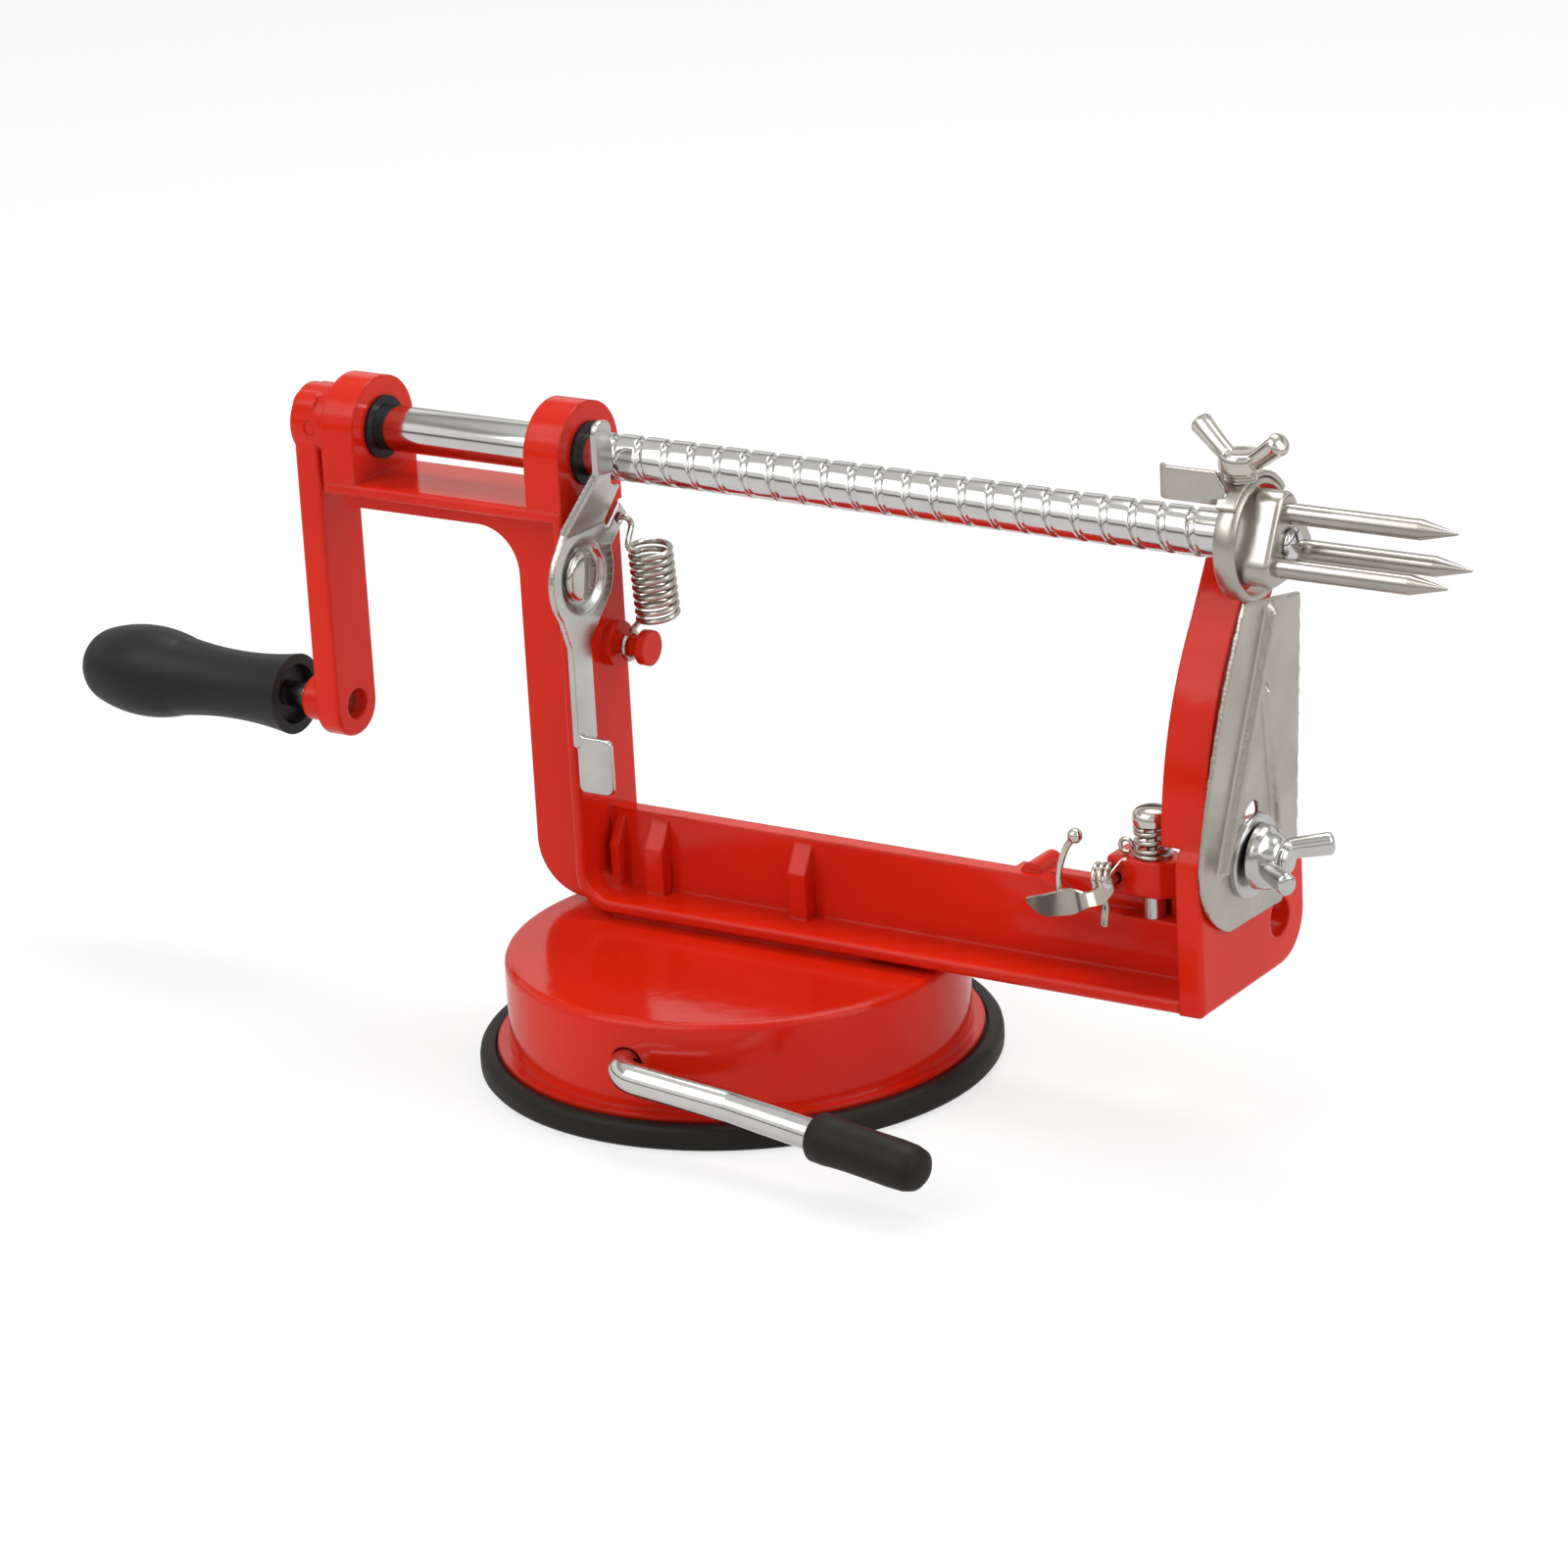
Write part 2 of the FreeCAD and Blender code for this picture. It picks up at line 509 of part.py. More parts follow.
def bind(sketch, constraint, length):
    """Add a constraint whose value follows the sheet."""
    index = sketch.addConstraint(constraint)
    sketch.setExpression("Constraints[%d]" % index, as_length(length).text)


def fix_point(sketch, element, vertex, place):
    """Tie one point of a sketch to its place from the sketch's origin."""
    across = as_length(place[0])
    up = as_length(place[1])
    bind(sketch, Sketcher.Constraint("DistanceX", element, vertex, across.number), across)
    bind(sketch, Sketcher.Constraint("DistanceY", element, vertex, up.number), up)


def new_body(name, node=True):
    """An empty body, which is one node unless it is only a tool for cutting or joining."""
    body = doc.addObject("PartDesign::Body", name)
    body.Label = name
    if node:
        nodes.append(body)
    return body


def place(item, x=0, y=0, z=0, axis=None, angle=0):
    """Put a finished piece in its place, turned about an axis if it has one."""
    rotation = FreeCAD.Rotation(axis, as_length(angle).number) if axis else FreeCAD.Rotation()
    base = V(as_length(x).number, as_length(y).number, as_length(z).number)
    item.Placement = FreeCAD.Placement(base, rotation)
    for name, length in (("x", x), ("y", y), ("z", z)):
        item.setExpression("Placement.Base." + name, as_length(length).text)
    if axis:
        item.setExpression("Placement.Rotation.Angle", as_length(angle).text)
    return item


def plane_of(body, axis):
    return next(f for f in body.Origin.OriginFeatures if f.Role == PLANES[axis])


def sketch_across(body, axis, at=0):
    """A sketch square to an axis of the body, at a place along it."""
    sketch = body.newObject("Sketcher::SketchObject", "outline")
    sketch.AttachmentSupport = [(plane_of(body, axis), "")]
    sketch.MapMode = "FlatFace"
    offset = as_length(at) if axis != "Y" else -as_length(at)
    sketch.AttachmentOffset = FreeCAD.Placement(V(0, 0, offset.number), FreeCAD.Rotation())
    sketch.setExpression("AttachmentOffset.Base.z", offset.text)
    return sketch


def draw(sketch, outline):
    """Draw a closed outline of straight lines and arcs and tie every point to its place."""
    elements = []
    for index, item in enumerate(outline):
        start = point(end_of(outline[index - 1]))
        end = point(end_of(item))
        if isinstance(item, Arc):
            edge = sketch.addGeometry(Part.Arc(start, point(item.through), end), False)
            backwards = (sketch.getPoint(edge, 1) - start).Length > (sketch.getPoint(edge, 2) - start).Length
            first, last = (2, 1) if backwards else (1, 2)
            middle = sketch.addGeometry(Part.Point(point(item.through)), True)
            fix_point(sketch, middle, 1, item.through)
            sketch.addConstraint(Sketcher.Constraint("PointOnObject", middle, 1, edge))
        else:
            edge = sketch.addGeometry(Part.LineSegment(start, end), False)
            first, last = 1, 2
        fix_point(sketch, edge, last, end_of(item))
        elements.append((edge, first, last))
    for index, (edge, first, last) in enumerate(elements):
        before, ignored, end = elements[index - 1]
        sketch.addConstraint(Sketcher.Constraint("Coincident", before, end, edge, first))


def draw_circle(sketch, centre, radius):
    """Draw a circle and tie its centre and radius."""
    circle = sketch.addGeometry(Part.Circle(point(centre), V(0, 0, 1), as_length(radius).number), False)
    fix_point(sketch, circle, 3, centre)
    bind(sketch, Sketcher.Constraint("Radius", circle, as_length(radius).number), radius)


def settle(body, feature):
    """Work out a feature and stop if it failed."""
    doc.recompute()
    if "Invalid" in feature.State or feature.Shape.isNull():
        raise RuntimeError("%s: %s failed" % (body.Label, feature.Label))
    return feature


def extrude(body, axis, sketch, thickness, cut):
    """Pad or pocket a sketch along the positive axis and check that it changed the piece."""
    had = body.Shape.Volume if body.Tip else 0
    feature = body.newObject("PartDesign::Pocket" if cut else "PartDesign::Pad", "cut" if cut else "solid")
    feature.Profile = sketch
    feature.Reversed = (axis != "Y") if cut else (axis == "Y")
    feature.Length = as_length(thickness).number
    feature.setExpression("Length", as_length(thickness).text)
    settle(body, feature)
    if abs(feature.Shape.Volume - had) < 1e-6:
        raise RuntimeError("%s: a feature changed nothing" % body.Label)
    return feature


def slab(body, axis, start, thickness, outline, cut=False):
    """A flat piece of the given outline, or a cut of that shape."""
    sketch = sketch_across(body, axis, start)
    draw(sketch, outline)
    return extrude(body, axis, sketch, thickness, cut)


def rod(body, axis, start, thickness, centre, radius, cut=False):
    """A round piece along an axis, or a bore."""
    sketch = sketch_across(body, axis, start)
    draw_circle(sketch, centre, radius)
    return extrude(body, axis, sketch, thickness, cut)


def turn(body, axis, profile):
    """A turned piece: the profile is (along, radius) for X and (radius, along) for Z."""
    sketch = sketch_across(body, "Z" if axis == "X" else "Y")
    draw(sketch, profile)
    feature = body.newObject("PartDesign::Revolution", "turned")
    feature.Profile = sketch
    feature.ReferenceAxis = (sketch, ["H_Axis" if axis == "X" else "V_Axis"])
    feature.Angle = 360
    return settle(body, feature)


def round_edges(body, radius, wanted):
    """Round the edges of the newest feature that a test picks."""
    tip = body.Tip
    names = ["Edge%d" % (i + 1) for i, edge in enumerate(tip.Shape.Edges) if wanted(edge)]
    if not names:
        raise RuntimeError("%s: no edge to round" % body.Label)
    feature = body.newObject("PartDesign::Fillet", "rounding")
    feature.Base = (tip, names)
    feature.Radius = as_length(radius).number
    feature.setExpression("Radius", as_length(radius).text)
    return settle(body, feature)


def corner(axis, across, up):
    """A test for the straight edge along an axis that passes through one place."""
    target = (as_length(across).number, as_length(up).number)

    def passes(edge):
        first = edge.Vertexes[0].Point
        last = edge.Vertexes[-1].Point
        for spot in (first, last):
            place_there = {"X": (spot.y, spot.z), "Y": (spot.x, spot.z), "Z": (spot.x, spot.y)}[axis]
            if abs(place_there[0] - target[0]) > 1e-4 or abs(place_there[1] - target[1]) > 1e-4:
                return False
        return (last - first).Length > 1e-4

    return passes


def ring_edge(axis, at, radius):
    """A test for the round edge at one place along an axis."""
    def passes(edge):
        if not isinstance(edge.Curve, Part.Circle):
            return False
        centre = edge.Curve.Center
        along = {"X": centre.x, "Y": centre.y, "Z": centre.z}[axis]
        near = abs(along - as_length(at).number) < 1e-4
        return near and abs(edge.Curve.Radius - as_length(radius).number) < 1e-4

    return passes


def in_plane(axis, at):
    """A test for every edge that lies in one plane across an axis."""
    target = as_length(at).number

    def passes(edge):
        box = edge.BoundBox
        low, high = {"X": (box.XMin, box.XMax), "Y": (box.YMin, box.YMax), "Z": (box.ZMin, box.ZMax)}[axis]
        return abs(low - target) < 1e-4 and abs(high - target) < 1e-4

    return passes


def pin_profile(lengths_and_radii, start=0):
    """The profile of a stepped pin along X: each step is its length and its radius."""
    at = as_length(start)
    profile = [(at, Length(0))]
    for length, radius in lengths_and_radii:
        profile.append((at, radius))
        at = at + length
        profile.append((at, radius))
    profile.append((at, Length(0)))
    return profile


# Wires and springs

def arc_between(start, direction, end):
    """The arc that leaves one point in a direction and ends at another."""
    chord = end - start
    half = direction.getAngle(chord)
    side = direction - chord * (direction.dot(chord) / chord.dot(chord))
    if side.Length < 1e-9:
        return Part.LineSegment(start, end).toShape()
    side.normalize()
    sagitta = chord.Length / 2 * math.tan(half / 2)
    return Part.Arc(start, start + chord * 0.5 + side * sagitta, end).toShape()


def biarc(start, leaving, end, arriving):
    """Two arcs that join two points and meet their directions."""
    gap = end - start
    both = leaving + arriving
    lean = 1 - leaving.dot(arriving)
    reach = (-gap.dot(both) + math.sqrt(gap.dot(both) ** 2 + 2 * lean * gap.dot(gap))) / (2 * lean)
    first = start + leaving * reach
    last = end - arriving * reach
    middle = (first + last) * 0.5
    heading = (last - first).normalize()
    return [arc_between(start, leaving, middle), arc_between(middle, heading, end)]


def helix_points(radius, pitch, quarters, first_quarter=0):
    """Points of a coil about Z, a quarter turn apart, with the direction at each."""
    places = []
    for quarter in range(quarters + 1):
        angle = math.radians(90 * (quarter + first_quarter))
        height = pitch * quarter / 4
        spot = V(radius * math.cos(angle), radius * math.sin(angle), height)
        heading = V(-radius * math.sin(angle), radius * math.cos(angle), pitch / (2 * math.pi))
        places.append((spot, heading.normalize()))
    return places


def bent_run(places, radius):
    """Straight runs joined by arcs of one radius, or less where a run is short."""
    edges = []
    at = places[0]
    for before, knee, after in zip(places, places[1:], places[2:]):
        into = (knee - before).normalize()
        out = (after - knee).normalize()
        half = into.getAngle(out) / 2
        reach = min(radius * math.tan(half), 0.45 * (knee - before).Length, 0.45 * (after - knee).Length)
        start = knee - into * reach
        end = knee + out * reach
        edges.append(Part.LineSegment(at, start).toShape())
        edges.append(arc_between(start, into, end))
        at = end
    edges.append(Part.LineSegment(at, places[-1]).toShape())
    return edges


def wire_solid(edges, radius):
    """One unbroken round wire along joined edges."""
    spine = Part.Wire(edges)
    first = spine.OrderedEdges[0]
    start = first.valueAt(first.FirstParameter)
    heading = first.tangentAt(first.FirstParameter)
    section = Part.Wire([Part.Circle(start, heading, radius).toShape()])
    shape = spine.makePipeShell([section], True, False)
    if shape.ShapeType != "Solid":
        shape = Part.Solid(shape)
    return shape


def least_gap(edges, radius, wire_name):
    """Print the least gap between turns of a wire that don't follow each other."""
    spots = []
    for edge in edges:
        steps = 6
        for step in range(steps):
            share = step / steps
            span = edge.LastParameter - edge.FirstParameter
            spots.append(edge.valueAt(edge.FirstParameter + share * span))
    along = [0.0]
    for before, after in zip(spots, spots[1:]):
        along.append(along[-1] + (after - before).Length)
    least = 1e9
    for i, one in enumerate(spots):
        for j in range(i + 1, len(spots)):
            if along[j] - along[i] > 8 * radius:
                least = min(least, (spots[j] - one).Length)
    print("%s: least gap between turns %.2f mm" % (wire_name, least - 2 * radius))


def shape_node(name, shape, x=0, y=0, z=0, axis=None, angle=0):
    """A node whose shape is made of wires or sections that the other features can't make."""
    feature = doc.addObject("Part::Feature", name)
    feature.Label = name
    feature.Shape = shape
    nodes.append(feature)
    return place(feature, x, y, z, axis, angle)


def cylinder(name, radius, height, x=0, y=0, z=0, axis=None, angle=0):
    item = doc.addObject("Part::Cylinder", name)
    item.Radius = as_length(radius).number
    item.Height = as_length(height).number
    item.setExpression("Radius", as_length(radius).text)
    item.setExpression("Height", as_length(height).text)
    return place(item, x, y, z, axis, angle)


def cone(name, foot, top, height, x=0, y=0, z=0):
    item = doc.addObject("Part::Cone", name)
    for field, length in (("Radius1", foot), ("Radius2", top), ("Height", height)):
        setattr(item, field, as_length(length).number)
        item.setExpression(field, as_length(length).text)
    return place(item, x, y, z)


def join(name, parts):
    item = doc.addObject("Part::MultiFuse", name)
    item.Shapes = parts
    item.Refine = True
    return item


def cut_out(name, base, tool):
    item = doc.addObject("Part::Cut", name)
    item.Base = base
    item.Tool = tool
    return item


def group(name, parts):
    """Like pieces that share one node."""
    item = doc.addObject("Part::Compound", name)
    item.Label = name
    item.Links = parts
    nodes.append(item)
    return item


# Suction base

def make_suction_pad():
    """Rubber disc with a lip round the cap; it lies flat until the stud lifts its middle."""
    body = new_body("suction_pad")
    lip_inner = s.cap_flange_radius + s.pad_lip_gap
    lip_top = s.pad_thickness + s.pad_lip_height
    profile = [(Length(0), Length(0)), (s.pad_radius, Length(0)), (s.pad_radius, lip_top),
               (lip_inner, lip_top), (lip_inner, s.pad_thickness), (Length(0), s.pad_thickness)]
    turn(body, "Z", profile)
    round_edges(body, s.pad_edge, ring_edge("Z", lip_top, s.pad_radius))
    return body


def make_base_cap():
    """Hollow cap with a foot, a raised seat for the frame and a bearing lug for the lever."""
    body = new_body("cap_shell", node=False)
    foot_top = s.pad_thickness + s.cap_flange_thickness
    inner = s.cap_radius - s.cap_wall
    profile = [(inner, s.pad_thickness), (s.cap_flange_radius, s.pad_thickness),
               (s.cap_flange_radius, foot_top), (s.cap_radius, foot_top), (s.cap_radius, s.cap_height),
               (Length(0), s.cap_height), (Length(0), cap_ceiling), (inner, cap_ceiling)]
    turn(body, "Z", profile)
    round_edges(body, s.cap_corner, ring_edge("Z", s.cap_height, s.cap_radius))
    half = s.seat_length / 2
    seat_rear = s.seat_front + s.seat_width
    seat = [(-half, s.seat_front), (half, s.seat_front), (half, seat_rear), (-half, seat_rear)]
    slab(body, "Z", s.cap_height - s.cap_wall / 2, s.seat_height + s.cap_wall / 2, seat)
    for across, up in seat:
        round_edges(body, s.seat_corner, corner("Z", across, up))
    for x in (s.first_rib_x, s.second_rib_x):
        hole = s.frame_screw_radius + s.running_gap * 4
        rod(body, "Z", cap_ceiling, beam_foot - cap_ceiling, (x, rib_middle_y), hole, cut=True)
    lug_foot = s.rod_z - s.lug_width / 2
    lug = new_body("cap_lug", node=False)
    half_lug = s.lug_width / 2
    lug_top = cap_ceiling + s.cap_wall / 2
    slab(lug, "Y", s.lug_place, s.lug_thickness,
         [(-half_lug, lug_foot), (half_lug, lug_foot), (half_lug, lug_top), (-half_lug, lug_top)])
    wall_hole = new_body("cap_wall_hole", node=False)
    hole_radius = s.rod_radius + s.rod_hole_gap
    rod(wall_hole, "Y", -(s.cap_radius + s.cap_wall), s.cap_wall * 3, (0, s.rod_z), hole_radius)
    lug_hole = new_body("cap_lug_hole", node=False)
    journal_hole = s.cam_journal_radius + s.running_gap
    rod(lug_hole, "Y", s.lug_place - s.face_gap, s.lug_thickness + s.face_gap * 2, (0, s.rod_z), journal_hole)
    for tool in (lug, wall_hole, lug_hole):
        place(tool, 0, 0, 0, V(0, 0, 1), s.rod_turn)
    cap = cut_out("base_cap", join("cap_with_lug", [body, lug]), join("cap_holes", [wall_hole, lug_hole]))
    nodes.append(cap)
    return cap


def make_pad_stud():
    """Plate bonded to the pad with a yoke that the crank pin lifts."""
    body = new_body("pad_stud")
    plate_top = s.pad_thickness + s.stud_plate_thickness
    rod(body, "Z", s.pad_thickness, s.stud_plate_thickness, (0, 0), s.stud_plate_radius)
    window_foot = s.rod_z - s.cam_pin_radius - s.yoke_play
    window_top = s.rod_z + s.cam_pin_radius + s.yoke_play
    window_half = s.cam_pin_radius + s.cam_throw + s.yoke_play
    half = s.yoke_width / 2
    half_depth = s.yoke_depth / 2
    yoke_top = window_top + s.yoke_wall
    slab(body, "Y", -half_depth, s.yoke_depth,
         [(-half, plate_top - s.stud_plate_thickness / 2), (half, plate_top - s.stud_plate_thickness / 2),
          (half, yoke_top), (-half, yoke_top)])
    slab(body, "Y", -half_depth, s.yoke_depth,
         [(-window_half, window_foot), (window_half, window_foot), (window_half, window_top),
          (-window_half, window_top)], cut=True)
    return place(body, 0, 0, 0, V(0, 0, 1), s.rod_turn)


def make_lever_cam():
    """Small crank on the inner end of the suction lever, with its journal in the cap's lug."""
    body = new_body("lever_cam")
    disc_end = s.cam_pin_half + s.cam_disc_length
    rod(body, "Y", -s.cam_pin_half, s.cam_pin_half * 2, (s.cam_throw, s.rod_z), s.cam_pin_radius)
    rod(body, "Y", -disc_end, s.cam_disc_length, (0, s.rod_z), s.cam_disc_radius)
    rod(body, "Y", s.cam_pin_half, s.cam_disc_length, (0, s.rod_z), s.cam_disc_radius)
    journal_end = s.lug_place + s.lug_thickness
    rod(body, "Y", disc_end, journal_end - disc_end, (0, s.rod_z), s.cam_journal_radius)
    return place(body, 0, 0, 0, V(0, 0, 1), s.rod_turn)


def rod_places():
    """The suction lever's route from the crank pin's disc out through the cap and along its front."""
    disc_end = s.cam_pin_half + s.cam_disc_length
    z = s.rod_z.number
    return [V(0, -disc_end.number, z),
            V(0, -s.rod_bend_y.number, z),
            V(s.rod_knee_x.number, -s.rod_knee_y.number, z - s.rod_knee_drop.number),
            V(s.rod_end_x.number, -s.rod_end_y.number, z - s.rod_end_drop.number)]


def make_lever_rod():
    """Bent steel rod; its outer end goes on inside the sleeve."""
    places = rod_places()
    heading = (places[-1] - places[-2]).normalize()
    places[-1] = places[-1] + heading * s.sleeve_grip.number
    edges = bent_run(places[:3] + [places[-1]], s.rod_bend_radius.number)
    shape = wire_solid(edges, s.rod_radius.number)
    return shape_node("lever_rod", shape, 0, 0, 0, V(0, 0, 1), s.rod_turn)


def make_lever_sleeve():
    """Soft sleeve on the lever's end, closed and rounded outside."""
    places = rod_places()
    start = places[-1]
    heading = (start - places[-2]).normalize()
    bore = s.rod_radius.number + s.press_gap.number
    outer = s.sleeve_radius.number
    swollen = outer + s.sleeve_flare.number
    length = s.sleeve_length.number
    neck = length / 3
    belly_length = length - neck - swollen
    solid = Part.makeCylinder(outer, neck, start, heading)
    belly = Part.makeCone(outer, swollen, belly_length, start + heading * neck, heading)
    tip = Part.makeSphere(swollen, start + heading * (neck + belly_length), heading, 0, 90, 360)
    solid = solid.fuse(belly).fuse(tip).removeSplitter()
    solid = solid.cut(Part.makeCylinder(bore, s.sleeve_grip.number + s.face_gap.number, start, heading))
    rims = [edge for edge in solid.Edges if not edge.Degenerated and isinstance(edge.Curve, Part.Circle)]
    mouth = [edge for edge in rims if (edge.Curve.Center - start).Length < 1e-6
             and abs(edge.Curve.Radius - outer) < 1e-6]
    shape = solid.makeFillet(s.sleeve_flare.number, mouth)
    return shape_node("lever_sleeve", shape, 0, 0, 0, V(0, 0, 1), s.rod_turn)


def make_frame_fasteners():
    """Two screws and washers that hold the frame to the cap from inside."""
    screws = []
    washers = []
    washer_foot = cap_ceiling - s.frame_washer_thickness
    head_foot = washer_foot - s.frame_screw_head_length
    shank = beam_foot + s.frame_screw_grip - washer_foot
    for index, x in enumerate((s.first_rib_x, s.second_rib_x)):
        head = cylinder("frame_screw_head_%d" % index, s.frame_screw_head, s.frame_screw_head_length,
                        x, rib_middle_y, head_foot)
        stem = cylinder("frame_screw_shank_%d" % index, s.frame_screw_radius, shank,
                        x, rib_middle_y, washer_foot)
        screws.append(join("frame_screw_%d" % index, [head, stem]))
        disc = cylinder("frame_washer_disc_%d" % index, s.frame_washer_radius, s.frame_washer_thickness,
                        x, rib_middle_y, washer_foot)
        bore = cylinder("frame_washer_bore_%d" % index, s.frame_screw_radius + s.running_gap,
                        s.frame_washer_thickness, x, rib_middle_y, washer_foot)
        washers.append(cut_out("frame_washer_%d" % index, disc, bore))
    group("frame_screws", screws)
    group("frame_screw_washers", washers)


# Frame

def make_frame_casting():
    """One casting: flange and web from the crank's boss down to the end wall and its rear post."""
    body = new_body("frame_casting")
    ribbon = [(s.wall_x, beam_foot), (column_back, beam_foot), (column_back, s.arm_top - s.arm_flange),
              (s.left_boss_x, s.arm_top - s.arm_flange), (s.left_boss_x, s.arm_top), (s.column_x, s.arm_top),
              (s.column_x, beam_floor), (s.wall_x, beam_floor)]
    slab(body, "Y", s.frame_front, s.frame_depth, ribbon)
    round_edges(body, s.lip_outer_radius, corner("Y", column_back, beam_foot))
    round_edges(body, s.lip_inner_radius, corner("Y", s.column_x, beam_floor))
    round_edges(body, s.casting_edge, in_plane("Y", s.frame_front))
    round_edges(body, s.casting_edge, in_plane("Y", frame_rear))
    inside = s.column_flange / 2
    arm_web_top = s.arm_top - s.arm_flange / 2
    arm_web = [(s.left_boss_x, arm_web_foot), (web_outer, arm_web_foot), (web_outer, beam_foot),
               (column_back + s.lip_outer_radius, beam_foot), (column_back + s.lip_outer_radius, beam_floor),
               (column_back + inside, beam_foot + s.lip_outer_radius), (column_back + inside, arm_web_top),
               (s.left_boss_x, arm_web_top)]
    slab(body, "Y", s.column_web_front, s.column_web_thickness, arm_web)
    round_edges(body, s.arm_corner_radius, corner("Y", web_outer, arm_web_foot))
    round_edges(body, s.column_foot_radius, corner("Y", web_outer, beam_foot))
    round_edges(body, s.arm_end_radius / 2, corner("Y", s.left_boss_x, arm_web_foot))
    beam_web = [(column_back + inside, beam_floor - s.beam_flange / 2),
                (s.wall_x + inside, beam_floor - s.beam_flange / 2), (s.wall_x + inside, window_floor),
                (s.window_floor_start, window_floor), (s.window_start, beam_web_top),
                (column_back + inside, beam_web_top)]
    slab(body, "Y", s.beam_web_front, s.beam_web_thickness, beam_web)
    back_foot = beam_floor - s.beam_flange / 2
    back_low = spacer_top - s.back_wall_drop
    back_wall = [(s.back_wall_start, back_foot), (s.wall_x + inside, back_foot),
                 (s.wall_x + inside, back_low), (s.back_wall_step + s.window_depth / 2, back_low),
                 (s.back_wall_step, beam_web_top), (s.back_wall_start, beam_web_top)]
    slab(body, "Y", s.beam_web_front + s.beam_web_thickness, s.back_wall_thickness, back_wall)
    add_ribs(body)
    add_end_wall(body)
    add_bosses(body)
    add_spring_stud(body)
    bore_frame(body)
    return body


def add_ribs(body):
    """Screw ribs on the web, a plain rib at the column's foot and a round bar behind the web."""
    rib_front = s.beam_web_front - s.rib_depth
    rib_top = beam_floor + s.rib_height
    inside_web = s.beam_web_front + s.beam_web_thickness / 2
    foot = beam_floor - s.beam_flange / 2
    profile = [(rib_front, foot), (inside_web, foot), (inside_web, rib_top), (s.beam_web_front, rib_top),
               (rib_front, rib_top - s.rib_slope)]
    for x in (s.first_rib_x, s.second_rib_x):
        slab(body, "X", x - s.rib_width / 2, s.rib_width, profile)
    slab(body, "X", s.corner_rib_x - s.rib_width / 4, s.rib_width / 2, profile)
    rod(body, "Y", inside_web, frame_rear - inside_web, (s.rear_boss_x, beam_floor + s.rear_boss_height),
        s.rear_boss_radius)


def add_end_wall(body):
    """End wall with its ear, and the post that rises behind it."""
    wall_top = beam_foot + s.wall_height
    ear_z = beam_foot + s.ear_height
    ear_right = s.ear_y + s.ear_radius
    rear_top = wall_top - s.wall_rear_drop
    wall = [(s.frame_front, beam_foot), (s.frame_front, wall_top), (s.wall_rear_y, rear_top),
            (ear_right, ear_z + s.ear_radius), (ear_right, beam_foot)]
    slab(body, "X", s.wall_x, s.wall_thickness, wall)
    round_edges(body, s.wall_front_corner, corner("X", s.frame_front, wall_top))
    round_edges(body, s.wall_rear_corner, corner("X", s.wall_rear_y, rear_top))
    round_edges(body, s.wall_front_corner, corner("X", ear_right, ear_z + s.ear_radius))
    round_edges(body, s.ear_radius - s.wall_thickness / 10, corner("X", ear_right, beam_foot))
    round_edges(body, s.casting_edge, in_plane("X", wall_face))
    foot_z = beam_foot + s.post_base_height
    bulge_z = beam_foot + s.post_bulge_height
    bend_z = beam_foot + s.post_bend_height
    top_z = beam_foot + s.post_top_height
    back = s.post_depth
    post = [(s.post_base_y, foot_z),
            Arc((s.post_bulge_y, bulge_z), (s.post_bend_y, bend_z)), (s.post_top_y, top_z),
            (s.post_top_y + back, top_z - back / 2), (s.post_bend_y + back, bend_z - back / 4),
            Arc((s.post_bulge_y + back, bulge_z - back / 8), (s.post_base_y + back, foot_z))]
    slab(body, "X", s.post_x, wall_face - s.post_x, post)
    round_edges(body, s.post_corner, corner("X", s.post_top_y, top_z))
    round_edges(body, s.post_corner, corner("X", s.post_top_y + back, top_z - back / 2))


def add_bosses(body):
    """Bosses that hold the feed shaft's bushes."""
    for x, length in ((s.left_boss_x, s.left_boss_length), (column_boss_x, s.column_boss_length)):
        rod(body, "X", x, length, (s.shaft_y, s.shaft_z), s.boss_radius)
        side = s.shaft_y + s.boss_radius
        front = s.shaft_y - s.boss_radius
        foot = s.arm_top - s.arm_flange
        slab(body, "X", x, length, [(front, foot), (side, foot), (side, s.shaft_z), (front, s.shaft_z)])


def add_spring_stud(body):
    """Stud for the catch spring."""
    at = s.column_x - s.column_flange / 2
    rod(body, "X", at, s.stud_root_length + s.column_flange / 2, (s.stud_y, s.stud_z), s.stud_root_radius)
    neck_end = s.column_x + s.stud_root_length + s.stud_neck_length
    rod(body, "X", at, neck_end + s.stud_head_length / 2 - at, (s.stud_y, s.stud_z), s.stud_neck_radius)
    rod(body, "X", neck_end, s.stud_head_length, (s.stud_y, s.stud_z), s.stud_head_radius)


